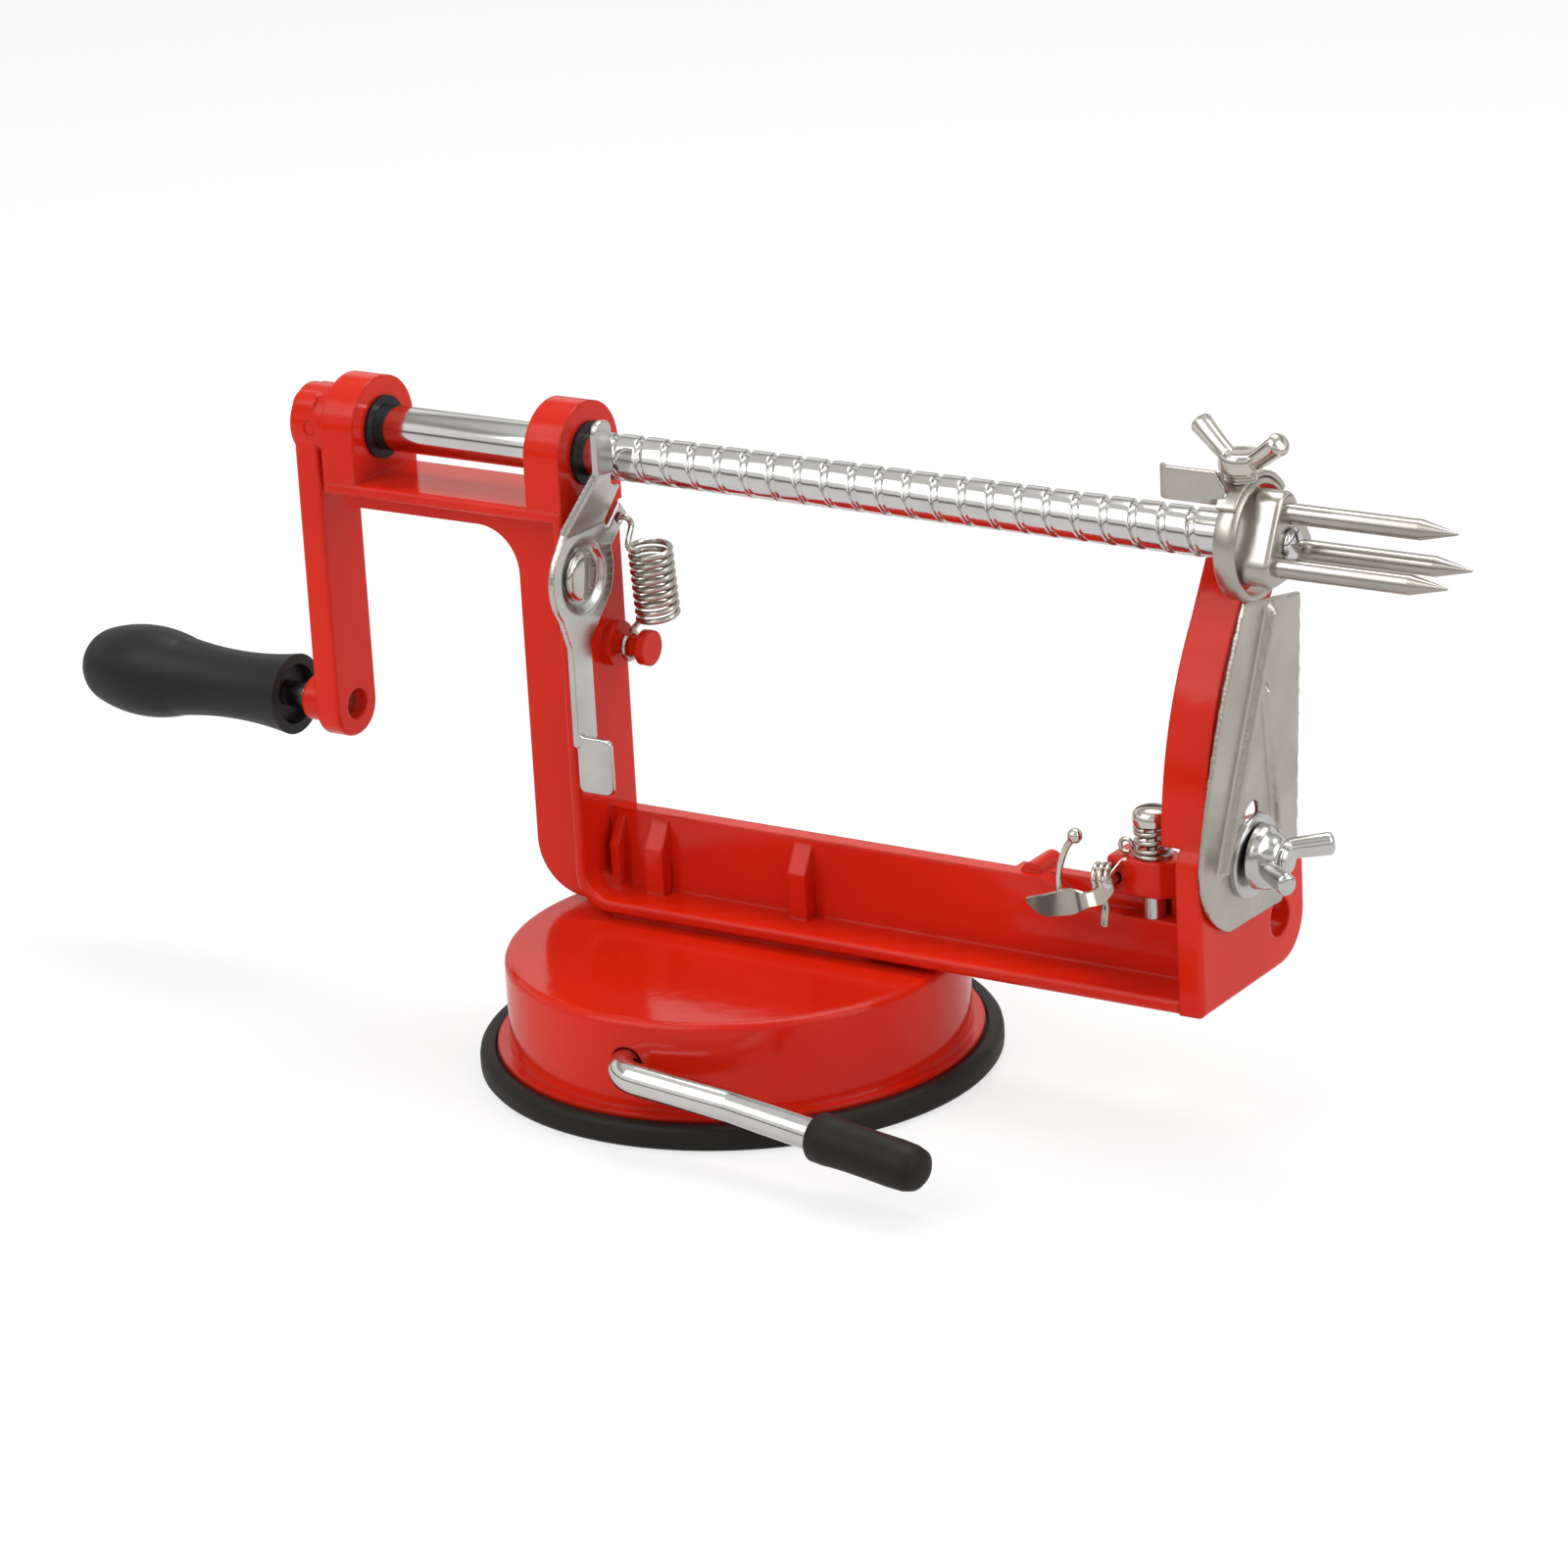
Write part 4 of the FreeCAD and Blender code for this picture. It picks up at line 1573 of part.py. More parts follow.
def make_peeler_parts():
    """Spacer, arm, pivot screw and pivot spring, all on one upright axis."""
    spacer = new_body("peeler_pivot_post")
    bore = s.peeler_screw_radius + s.running_gap
    rod(spacer, "Z", window_floor, s.spacer_height, (s.peeler_x, s.peeler_y), s.spacer_radius)
    rod(spacer, "Z", window_floor, s.spacer_height, (s.peeler_x, s.peeler_y), bore, cut=True)

    arm = new_body("peeler_arm")
    outline = [(s.arm_left_x, s.arm_front_y), (s.arm_front_right_x, s.arm_front_y),
               (s.arm_right_x, s.peeler_y), (s.arm_front_right_x, s.arm_rear_y), (s.arm_left_x, s.arm_rear_y)]
    slab(arm, "Z", spacer_top, s.arm_height, outline)
    for across, up in outline:
        round_edges(arm, s.arm_corner, corner("Z", across, up))
    round_edges(arm, s.arm_edge, in_plane("Z", spacer_top))
    round_edges(arm, s.arm_edge, in_plane("Z", arm_ceiling))
    rod(arm, "Z", spacer_top, s.arm_height, (s.peeler_x, s.peeler_y), bore, cut=True)
    rod(arm, "Y", s.arm_front_y, s.blade_pin_grip, (s.blade_pin_x, s.blade_pin_z),
        s.blade_pin_radius + s.press_gap, cut=True)

    coil_height = s.peeler_pitch * s.peeler_quarters / 4 + s.peeler_wire
    head_foot = arm_ceiling + coil_height + s.running_gap * 2
    screw = new_body("peeler_pivot_screw")
    rod(screw, "Z", window_floor - s.peeler_screw_grip, head_foot - window_floor + s.peeler_screw_grip,
        (s.peeler_x, s.peeler_y), s.peeler_screw_radius)
    rod(screw, "Z", head_foot, s.peeler_screw_head_length, (s.peeler_x, s.peeler_y), s.peeler_screw_head)
    round_edges(screw, s.peeler_screw_head_length / 3,
                ring_edge("Z", head_foot + s.peeler_screw_head_length, s.peeler_screw_head))

    wire = s.peeler_wire.number
    foot = V(s.peeler_x.number, s.peeler_y.number, arm_ceiling.number + wire / 2 + s.running_gap.number)
    coil = helix_points(s.peeler_coil_radius.number, s.peeler_pitch.number, int(s.peeler_quarters.number))
    edges = []
    for (start, leaving), (end, arriving) in zip(coil, coil[1:]):
        edges += biarc(foot + start, leaving, foot + end, arriving)
    least_gap(edges, wire / 2, "peeler_pivot_spring")
    shape_node("peeler_pivot_spring", wire_solid(edges, wire / 2))


def make_blade():
    """Blade strip with its lug on the pin, and the wire guide with its ball."""
    body = new_body("peeler_blade")
    top = s.blade_foot_z + s.blade_height
    lug_top = top + s.blade_lug_height
    lug_left = s.blade_right_x - s.blade_lug_width
    strip = [(s.blade_left_x, s.blade_foot_z), (s.blade_right_x, s.blade_foot_z - s.blade_height / 2),
             (s.blade_right_x, lug_top), (lug_left, lug_top), (lug_left, top),
             (s.blade_left_x, s.blade_foot_z + s.blade_height / 3)]
    slab(body, "Y", s.blade_y, s.blade_sheet, strip)
    rod(body, "Y", s.blade_y, s.blade_sheet, (s.blade_pin_x, s.blade_pin_z),
        s.blade_pin_radius + s.running_gap, cut=True)

    ball = Part.makeSphere(s.guide_ball.number)
    radius = s.guide_wire.number / 2
    y = s.blade_y.number - radius - s.press_gap.number
    x = s.guide_x.number
    z = s.blade_foot_z.number
    foot_z = z + s.guide_foot_rise.number
    places = [V(x + s.guide_foot_reach.number, y, foot_z), V(x, y, foot_z),
              V(x + s.guide_bow.number, y, z + s.guide_bow_rise.number),
              V(x + s.guide_lean.number, y, z + s.guide_reach.number)]
    ball.translate(places[-1])
    wire = wire_solid(bent_run(places, s.guide_wire.number * 2), radius)
    shape_node("blade_guide_wire", wire.fuse(ball).removeSplitter())


def make_blade_pin():
    """Headed pin on which the blade swings."""
    body = new_body("blade_pin")
    length = s.arm_front_y - s.blade_y + s.blade_pin_grip
    rod(body, "Y", 0, length, (0, 0), s.blade_pin_radius)
    rod(body, "Y", -s.blade_pin_head_length, s.blade_pin_head_length, (0, 0), s.blade_pin_head)
    return place(body, s.blade_pin_x, s.blade_y, s.blade_pin_z)


def make_blade_spring():
    """Torsion spring round the blade's pin, with one leg on the arm and one behind the blade."""
    wire = s.blade_spring_wire.number
    coil = helix_points(s.blade_spring_radius.number, s.blade_spring_pitch.number,
                        int(s.blade_spring_quarters.number))
    edges = []
    for (start, leaving), (end, arriving) in zip(coil, coil[1:]):
        edges += biarc(start, leaving, end, arriving)
    least_gap(edges, wire / 2, "blade_spring")
    shape = wire_solid(edges, wire / 2)
    foot = s.arm_front_y - s.blade_spring_wire / 2 - s.running_gap * 2
    shape_node("blade_spring", shape, s.blade_pin_x, foot, s.blade_pin_z,
               V(1, 0, 0), 90)


def build():
    make_suction_pad()
    make_base_cap()
    make_pad_stud()
    make_lever_cam()
    make_lever_rod()
    make_lever_sleeve()
    make_frame_fasteners()
    make_frame_casting()
    make_bush("left_bush", s.left_boss_x, s.left_boss_length)
    make_bush("right_bush", column_boss_x, s.column_boss_length)
    make_feed_shaft()
    make_fork_hub()
    make_fork_prongs()
    make_fork_screw()
    make_crank_arm()
    make_crank_pin()
    make_handle_spindle()
    make_handle_grip()
    make_grip_clip()
    make_catch_lever()
    make_pivot_screw()
    make_catch_spring()
    make_slicer_plate()
    make_coring_ring()
    make_guide_strap()
    make_wing_screw()
    make_slicer_bolt()
    make_slicer_washer()
    make_slicer_nut()
    make_peeler_parts()
    make_blade()
    make_blade_pin()
    make_blade_spring()


def write_out():
    """Check every object and write each node's shape to its file."""
    doc.recompute()
    for item in doc.Objects:
        if "Invalid" in item.State or "Error" in item.State:
            raise RuntimeError("%s failed: %s" % (item.Label, item.State))
    os.makedirs("parts", exist_ok=True)
    for item in nodes:
        if item.Shape.isNull() or not item.Shape.isValid():
            raise RuntimeError("%s has no valid shape" % item.Label)
        print("%-22s %d solid %10.1f mm3" % (item.Label, len(item.Shape.Solids), item.Shape.Volume))
        item.Shape.exportStep("parts/%s.step" % item.Label)


build()
write_out()
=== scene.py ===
import json
import math

import bmesh
import bpy
from mathutils import Matrix, Vector

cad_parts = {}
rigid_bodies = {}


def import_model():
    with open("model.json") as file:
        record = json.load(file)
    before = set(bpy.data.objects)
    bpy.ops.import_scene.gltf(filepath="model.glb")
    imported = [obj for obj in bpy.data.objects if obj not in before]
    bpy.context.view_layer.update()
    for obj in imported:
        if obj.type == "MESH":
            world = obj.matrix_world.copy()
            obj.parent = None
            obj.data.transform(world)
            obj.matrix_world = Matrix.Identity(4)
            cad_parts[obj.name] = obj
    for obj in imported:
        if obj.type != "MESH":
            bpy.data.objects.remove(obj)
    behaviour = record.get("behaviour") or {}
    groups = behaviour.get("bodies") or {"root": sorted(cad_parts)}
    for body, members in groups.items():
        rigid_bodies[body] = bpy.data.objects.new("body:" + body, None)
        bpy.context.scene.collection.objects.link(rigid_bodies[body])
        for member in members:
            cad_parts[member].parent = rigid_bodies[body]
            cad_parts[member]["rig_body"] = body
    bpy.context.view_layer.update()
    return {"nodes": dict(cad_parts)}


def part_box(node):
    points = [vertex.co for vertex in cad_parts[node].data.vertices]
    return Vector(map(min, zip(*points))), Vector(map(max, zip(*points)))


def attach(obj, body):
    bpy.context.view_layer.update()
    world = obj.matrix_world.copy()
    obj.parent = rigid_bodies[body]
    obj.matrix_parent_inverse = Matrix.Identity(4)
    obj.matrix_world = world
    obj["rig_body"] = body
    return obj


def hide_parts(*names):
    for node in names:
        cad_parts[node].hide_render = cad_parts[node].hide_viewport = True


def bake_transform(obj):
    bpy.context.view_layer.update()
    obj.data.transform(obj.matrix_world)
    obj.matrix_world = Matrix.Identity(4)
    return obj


# Looks of a hand cranked apple peeler: its finishes, springs and formed metal, the studio and the camera.
# The scene is in metres, in the CAD frame: X along the shaft towards the prongs, Z up, the floor at Z 0.
# Pieces are drawn in millimetres and scaled as they are made.

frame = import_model()
nodes = frame["nodes"]

MM = 0.001

# Directions, and places that several pieces share, in millimetres
ALONG = Vector((1, 0, 0))
BACK = Vector((0, 1, 0))
UP = Vector((0, 0, 1))
SHAFT_Y = 10.0
SHAFT_Z = 126.5
SHAFT_RADIUS = 5.0
BOLT_Y = 15.4
BOLT_Z = 57.3


# Node trees

class Tree:
    """A material's or world's node tree, with short calls that add a node and join it."""

    def __init__(self, owner):
        owner.use_nodes = True
        self.tree = owner.node_tree
        self.tree.nodes.clear()

    def add(self, kind, settings=None, **inputs):
        """A new node. settings are its own properties, and inputs its sockets, by name with _ for a space."""
        node = self.tree.nodes.new(kind)
        for key, value in (settings or {}).items():
            setattr(node, key, value)
        for key, value in inputs.items():
            self.feed(node, key.replace("_", " "), value)
        return node

    def feed(self, node, key, value):
        """Sets the node's input to a number, a colour, or another node's output."""
        socket = node.inputs[int(key)] if key.isdigit() else node.inputs[key]
        if isinstance(value, bpy.types.NodeSocket):
            self.tree.links.new(value, socket)
        else:
            socket.default_value = value

    def value(self, kind, first, second=None, third=None):
        """A Math node's output."""
        node = self.add("ShaderNodeMath", {"operation": kind})
        for number, item in enumerate((first, second, third)):
            if item is not None:
                self.feed(node, str(number), item)
        return node.outputs[0]

    def ramp(self, source, *stops):
        """A colour ramp over source. Each stop is a place and a grey level or a colour."""
        node = self.add("ShaderNodeValToRGB", Fac=source)
        elements = node.color_ramp.elements
        while len(elements) < len(stops):
            elements.new(0.5)
        for element, (place, colour) in zip(elements, stops):
            element.position = place
            element.color = colour if isinstance(colour, tuple) else (colour, colour, colour, 1)
        return node.outputs["Color"]

    def blend(self, factor, first, second):
        """A mix of two colours."""
        node = self.add("ShaderNodeMix", {"data_type": "RGBA"}, Factor=factor)
        self.feed(node, "6", first)
        self.feed(node, "7", second)
        return node.outputs[2]

    def noise(self, size, detail, stretch=(1, 1, 1)):
        """A noise whose grains are size across, over the object's own coordinates."""
        place = self.add("ShaderNodeTexCoord").outputs["Object"]
        mapping = self.add("ShaderNodeMapping", Vector=place)
        self.feed(mapping, "Scale", stretch)
        node = self.add("ShaderNodeTexNoise", Vector=mapping.outputs[0], Scale=1 / size, Detail=detail)
        return node.outputs["Fac"]

    def bump(self, height, depth, before=None):
        """A bump whose height runs from 0 to depth, over the surface or over the normal before it."""
        node = self.add("ShaderNodeBump", Height=height, Distance=depth, Strength=1)
        if before is not None:
            self.feed(node, "Normal", before)
        return node.outputs[0]

    def mix(self, factor, first, second):
        """A mix of two shaders."""
        node = self.add("ShaderNodeMixShader", Fac=factor)
        self.feed(node, "1", first)
        self.feed(node, "2", second)
        return node.outputs[0]


def material(name, build):
    """A material whose Principled shader's inputs come from build, which is given the tree."""
    made = bpy.data.materials.new(name)
    tree = Tree(made)
    shader = tree.add("ShaderNodeBsdfPrincipled", **build(tree))
    tree.add("ShaderNodeOutputMaterial", Surface=shader.outputs[0])
    return made


# Finishes

RED = (0.65, 0.019, 0.004, 1)
DEEP_RED = (0.55, 0.012, 0.003, 1)
SOFT_EDGE = 0.001
PEEL_DEPTH = 0.00005
SHEEN = 0.24
TARNISH = 0.84
WORN = 1.7


def shade(colour, share):
    """The colour made darker or lighter by a share."""
    return tuple(share * part for part in colour[:3]) + (1,)


def enamel(tree):
    """Glossy baked enamel: a faint flow in the colour, a slight orange peel and softly rounded edges."""
    cloud = tree.noise(0.045, detail=1)
    peel = tree.noise(0.0042, detail=1)
    grain = tree.noise(0.0009, detail=2)
    rounded = tree.add("ShaderNodeBevel", {"samples": 4}, Radius=SOFT_EDGE).outputs[0]
    return {
        "Base_Color": tree.blend(tree.ramp(cloud, (0.3, 0.0), (0.75, 1.0)), RED, DEEP_RED),
        "Roughness": tree.value("MULTIPLY_ADD", grain, 0.05, 0.10),
        "Specular_IOR_Level": SHEEN,
        "Normal": tree.bump(peel, PEEL_DEPTH, rounded),
    }


def plating(colour, rough, streaks, depth):
    """Plated metal. streaks stretches its fine scratches, and depth is how deep they are."""
    def build(tree):
        scratches = tree.noise(0.0006, detail=4, stretch=streaks)
        haze = tree.noise(0.012, detail=3)
        return {
            "Base_Color": tree.blend(tree.ramp(haze, (0.3, 0.0), (0.7, 1.0)), colour, shade(colour, TARNISH)),
            "Metallic": 1.0,
            "Roughness": tree.value("MULTIPLY_ADD", haze, rough, rough * 0.6),
            "Normal": tree.bump(scratches, depth),
        }
    return build


def moulded(colour, rough, depth):
    """Rubber or plastic out of a mould: a fine grain and worn, uneven gloss."""
    def build(tree):
        grain = tree.noise(0.0005, detail=3)
        wear = tree.noise(0.014, detail=3)
        return {
            "Base_Color": tree.blend(wear, colour, shade(colour, WORN)),
            "Specular_IOR_Level": SHEEN,
            "Roughness": tree.value("MULTIPLY_ADD", wear, 0.18, rough),
            "Normal": tree.bump(grain, depth),
        }
    return build


# Which way a metal's scratches run
EVEN = (1, 1, 1)
ALONG_X = (0.03, 1, 1)
ALONG_Z = (1, 1, 0.03)
ROUND_X = (1, 0.08, 0.08)

red_enamel = material("red_enamel", enamel)
chrome = material("chrome", plating((0.76, 0.76, 0.76, 1), 0.10, ALONG_X, 0.0000015))
blade_steel = material("blade_steel", plating((0.50, 0.46, 0.41, 1), 0.12, ALONG_X, 0.000003))
lever_steel = material("lever_steel", plating((0.66, 0.65, 0.63, 1), 0.20, ALONG_Z, 0.000003))
bright_nickel = material("bright_nickel", plating((0.70, 0.67, 0.62, 1), 0.14, EVEN, 0.000003))
spring_wire = material("spring_wire", plating((0.56, 0.53, 0.48, 1), 0.17, EVEN, 0.000003))
zinc = material("zinc", plating((0.66, 0.66, 0.65, 1), 0.18, EVEN, 0.000004))
satin_steel = material("satin_steel", plating((0.56, 0.535, 0.49, 1), 0.27, ALONG_Z, 0.000006))
rolled_steel = material("rolled_steel", plating((0.54, 0.51, 0.465, 1), 0.28, ROUND_X, 0.000005))
turned_steel = material("turned_steel", plating((0.50, 0.475, 0.435, 1), 0.22, ALONG_X, 0.000004))
rubber = material("rubber", moulded((0.007, 0.006, 0.005, 1), 0.42, 0.00002))
grip_plastic = material("grip_plastic", moulded((0.010, 0.010, 0.011, 1), 0.36, 0.000015))
bush_plastic = material("bush_plastic", moulded((0.008, 0.008, 0.009, 1), 0.30, 0.00001))

# Each node's finish, which the piece formed in its place takes too
FINISHES = {
    "frame_casting": red_enamel,
    "base_cap": red_enamel,
    "crank_arm": red_enamel,
    "crank_fixing_pin": red_enamel,
    "peeler_arm": red_enamel,
    "suction_pad": rubber,
    "lever_sleeve": rubber,
    "handle_grip": grip_plastic,
    "grip_clip": grip_plastic,
    "left_bush": bush_plastic,
    "right_bush": bush_plastic,
    "feed_shaft": chrome,
    "fork_screw": chrome,
    "lever_rod": chrome,
    "catch_lever": lever_steel,
    "catch_pivot_screw": bright_nickel,
    "top_wing_screw": bright_nickel,
    "peeler_pivot_screw": bright_nickel,
    "blade_guide_wire": bright_nickel,
    "blade_spring": bright_nickel,
    "catch_spring": spring_wire,
    "peeler_pivot_spring": spring_wire,
    "peeler_blade": blade_steel,
    "fork_prongs": turned_steel,
    "fork_hub": satin_steel,
    "slicer_plate": satin_steel,
    "guide_strap": satin_steel,
    "coring_ring": rolled_steel,
    "handle_spindle": zinc,
    "slicer_wing_nut": zinc,
    "slicer_washer": zinc,
    "slicer_bolt": zinc,
    "frame_screws": zinc,
    "frame_screw_washers": zinc,
    "pad_stud": zinc,
    "lever_cam": zinc,
    "blade_pin": zinc,
    "peeler_pivot_post": zinc,
}

for name, node in nodes.items():
    node.data.materials.clear()
    node.data.materials.append(FINISHES[name])


# Shapes: every size is in millimetres

def at(x, y, z):
    """A place or a direction."""
    return Vector((x, y, z))


def corners(node):
    """The lowest and highest corners of a CAD node's box."""
    low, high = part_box(node)
    return low / MM, high / MM


def middle(node):
    """The middle of a CAD node's box."""
    low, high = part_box(node)
    return (low + high) * (0.5 / MM)


def round_turn(count):
    """Evenly spaced angles round a circle."""
    return [2 * math.pi * index / count for index in range(count)]


def loft(bm, rows, closed=True, caps=True):
    """A skin over rows of places. Every row has as many."""
    grid = [[bm.verts.new(place) for place in row] for row in rows]
    for low, high in zip(grid, grid[1:]):
        count = len(low)
        for index in range(count if closed else count - 1):
            after = (index + 1) % count
            bm.faces.new((low[index], low[after], high[after], high[index]))
    if caps:
        bm.faces.new(list(reversed(grid[0])))
        bm.faces.new(grid[-1])


def lathe(bm, profile, origin, axis, sides=48, open_ring=False):
    """A turned shape. profile is (radius, along the axis); an open ring's profile is a closed loop."""
    axis = axis.normalized()
    side = axis.orthogonal().normalized()
    up = axis.cross(side)
    rows = []
    for radius, along in profile:
        rows.append([origin + axis * along + (side * math.cos(turn) + up * math.sin(turn)) * radius
                     for turn in round_turn(sides)])
    if open_ring:
        rows.append(rows[0])
    loft(bm, rows, caps=not open_ring)


# A bar's rounded end: a section's size, and how far it lies beyond the end, as shares of the bar's own
ROUND_END = ((0.88, 0.25), (0.55, 0.45))


def tube(bm, path, width, height=None, sides=10, up=None, grow=(1, 1)):
    """A bar with an elliptical section along a path, with rounded ends.

    up is where its height points, and grow its size at each end as a share of width and height."""
    height = height or width
    normal = up or (path[1] - path[0]).orthogonal()
    last = len(path) - 1
    sections = [(0, share, -beyond) for share, beyond in reversed(ROUND_END)]
    sections += [(index, 1.0, 0.0) for index in range(last + 1)]
    sections += [(last, share, beyond) for share, beyond in ROUND_END]
    rows = []
    for index, share, beyond in sections:
        heading = (path[min(index + 1, last)] - path[max(index - 1, 0)]).normalized()
        normal = (normal - heading * normal.dot(heading)).normalized()
        side = heading.cross(normal)
        centre = path[index] + heading * (beyond * min(width, height))
        size = share * (grow[0] + (grow[1] - grow[0]) * index / last)
        rows.append([centre + (normal * math.sin(turn) * height + side * math.cos(turn) * width) * size
                     for turn in round_turn(sides)])
    loft(bm, rows)


def through(places, steps):
    """A smooth path through places, with so many steps between two of them."""
    path = []
    for index in range(len(places) - 1):
        before = places[max(index - 1, 0)]
        start, end = places[index], places[index + 1]
        after = places[min(index + 2, len(places) - 1)]
        for step in range(steps):
            share = step / steps
            square, cube = share ** 2, share ** 3
            path.append(0.5 * (2 * start + (end - before) * share
                               + (2 * before - 5 * start + 4 * end - after) * square
                               + (3 * start - before - 3 * end + after) * cube))
    path.append(places[-1])
    return path


def coil(foot, top, radius, turns, first_turn, steps=24, lead=0.0):
    """Places along a coil from foot to top.

    lead flattens its first and last turns, as a share of the height."""
    axis = (top - foot).normalized()
    side = (ALONG - axis * ALONG.dot(axis)).normalized()
    up = axis.cross(side)
    places = []
    count = int(turns * steps)
    for step in range(count + 1):
        share = step / count
        turn = 2 * math.pi * (first_turn + share * turns)
        rise = share
        if lead:
            ramp = min(max((share - lead) / (1 - 2 * lead), 0.0), 1.0)
            rise = lead * share + (1 - lead) * ramp
        places.append(foot + (top - foot) * rise + (side * math.cos(turn) + up * math.sin(turn)) * radius)
    return places


def add_wings(bm, foot, out, up, route, width, height, sides, grow):
    """Two bars that leave foot on opposite sides. route is (distance along out, distance along up)."""
    for side in (1, -1):
        path = through([foot + out * side * reach + up * rise for reach, rise in route], 4)
        tube(bm, path, width, height, sides, up=up, grow=grow)


# Pieces out of shapes or CAD nodes

SHARP = 38  # degrees between two faces past which their edge stays sharp
WELD = 1e-4  # millimetres within which two vertices are one


def put_in_scene(node, mesh):
    """An object that shows a mesh in the node's finish."""
    mesh.materials.clear()
    mesh.materials.append(FINISHES[node])
    piece = bpy.data.objects.new(node + "_formed", mesh)
    bpy.context.scene.collection.objects.link(piece)
    return piece


def smooth_but_sharp(bm, limit):
    """Smooth shading with sharp edges where two faces meet at more than the limit, in degrees."""
    for face in bm.faces:
        face.smooth = True
    for edge in bm.edges:
        edge.smooth = not (edge.is_manifold and edge.calc_face_angle(0) > math.radians(limit))


def make_piece(node, bm, body=None, limit=SHARP):
    """A piece out of built geometry. With a body, it rides on that and takes its CAD node's place."""
    bmesh.ops.remove_doubles(bm, verts=bm.verts, dist=WELD)
    bmesh.ops.dissolve_degenerate(bm, dist=WELD, edges=bm.edges)
    bmesh.ops.recalc_face_normals(bm, faces=bm.faces)
    smooth_but_sharp(bm, limit)
    bmesh.ops.scale(bm, vec=(MM, MM, MM), verts=bm.verts)
    mesh = bpy.data.meshes.new(node + "_formed")
    bm.to_mesh(mesh)
    bm.free()
    piece = put_in_scene(node, mesh)
    if body:
        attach(piece, body)
        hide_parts(node)
    return piece


def work_out(piece, limit=180):
    """Works out the piece's modifiers."""
    graph = bpy.context.evaluated_depsgraph_get()
    mesh = bpy.data.meshes.new_from_object(piece.evaluated_get(graph))
    piece.modifiers.clear()
    piece.data = mesh
    bm = bmesh.new()
    bm.from_mesh(mesh)
    bmesh.ops.recalc_face_normals(bm, faces=bm.faces)
    smooth_but_sharp(bm, limit)
    bm.to_mesh(mesh)
    bm.free()


def relax(piece, passes, group=""):
    """Evens the piece out, over all of it or over a group of its vertices."""
    smooth = piece.modifiers.new("relax", "SMOOTH")
    smooth.factor = 0.5
    smooth.iterations = passes
    smooth.vertex_group = group
    work_out(piece)


def soften(node, grain, passes):
    """A copy of a CAD node with softly rounded edges, as if stamped or cast, which stands for the node."""
    piece = put_in_scene(node, nodes[node].data.copy())
    remesh = piece.modifiers.new("grain", "REMESH")
    remesh.mode = "VOXEL"
    remesh.voxel_size = grain * MM
    relax(piece, passes)
    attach(piece, nodes[node]["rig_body"])
    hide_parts(node)
    return piece


DISH_REACH = 7.5  # radius round the pivot screw in which the dish is smoothed further
DISH_FADE = 0.3  # share of that radius over which the smoothing fades out
DISH_PASSES = 60


def press_dish(piece):
    """Eases the dish round the catch lever's pivot, as a press leaves it."""
    centre = middle("catch_pivot_screw") * MM
    reach = DISH_REACH * MM
    dish = piece.vertex_groups.new(name="dish")
    for vertex in piece.data.vertices:
        away = (vertex.co - centre).length
        if away < reach:
            dish.add([vertex.index], min((reach - away) / (DISH_FADE * reach), 1), "REPLACE")
    relax(piece, DISH_PASSES, dish.name)


# The plate's pressed beads: two ends as Y and Z, half width and height
BEADS = (((3.0, 57.5), (18.9, 109.0), 1.15, 1.3), ((27.0, 57.5), (18.8, 92.0), 0.9, 0.7))


def raise_beads(piece):
    """Presses two straight beads outwards in the slicing plate."""
    for vertex in piece.data.vertices:
        place = vertex.co / MM
        for start, end, half, height in BEADS:
            start, end = Vector(start), Vector(end)
            spot = Vector((place.y, place.z))
            share = min(max((spot - start).dot(end - start) / (end - start).length_squared, 0), 1)
            away = (spot - start - (end - start) * share).length
            if away < 2 * half:
                place.x += height * (0.5 + 0.5 * math.cos(math.pi * away / (2 * half)))
        vertex.co = place * MM


CROWN_REACH = 4.2  # how far behind the ring's rear edge the strap reaches over the ring
CROWN_TAPER = (108.0, 134.0)  # degrees round the ring, from the back over the top, where that reach runs in


def taper_strap(piece):
    """Runs the strap's rear edge in to the ring where the strap comes down the ring's front."""
    rear = corners("coring_ring")[0].x
    start, end = CROWN_TAPER
    for vertex in piece.data.vertices:
        place = vertex.co / MM
        turn = math.degrees(math.atan2(place.z - SHAFT_Z, place.y - SHAFT_Y))
        if turn > start and rear - CROWN_REACH < place.x < rear:
            share = min((turn - start) / (end - start), 1)
            place.x = rear + (place.x - rear) * (1 - share * share * (3 - 2 * share))
        vertex.co = place * MM


def cut_slot(piece, centre, size, angle):
    """Cuts a screwdriver's slot in a head, turned by the angle round the slot's depth, X or Z."""
    bm = bmesh.new()
    bmesh.ops.create_cube(bm, size=1)
    bmesh.ops.scale(bm, vec=size, verts=bm.verts)
    axis = "X" if size[0] < size[2] else "Z"
    turn = Matrix.Rotation(math.radians(angle), 3, axis)
    bmesh.ops.rotate(bm, cent=(0, 0, 0), matrix=turn, verts=bm.verts)
    bmesh.ops.translate(bm, vec=centre, verts=bm.verts)
    bmesh.ops.scale(bm, vec=(MM, MM, MM), verts=bm.verts)
    mesh = bpy.data.meshes.new("slot")
    bm.to_mesh(mesh)
    bm.free()
    cutter = bpy.data.objects.new("slot", mesh)
    bpy.context.scene.collection.objects.link(cutter)
    cut = piece.modifiers.new("slot", "BOOLEAN")
    cut.operation = "DIFFERENCE"
    cut.solver = "EXACT"
    cut.object = cutter
    work_out(piece, SHARP)
    bpy.data.objects.remove(cutter)


# Feed shaft, fork and ring

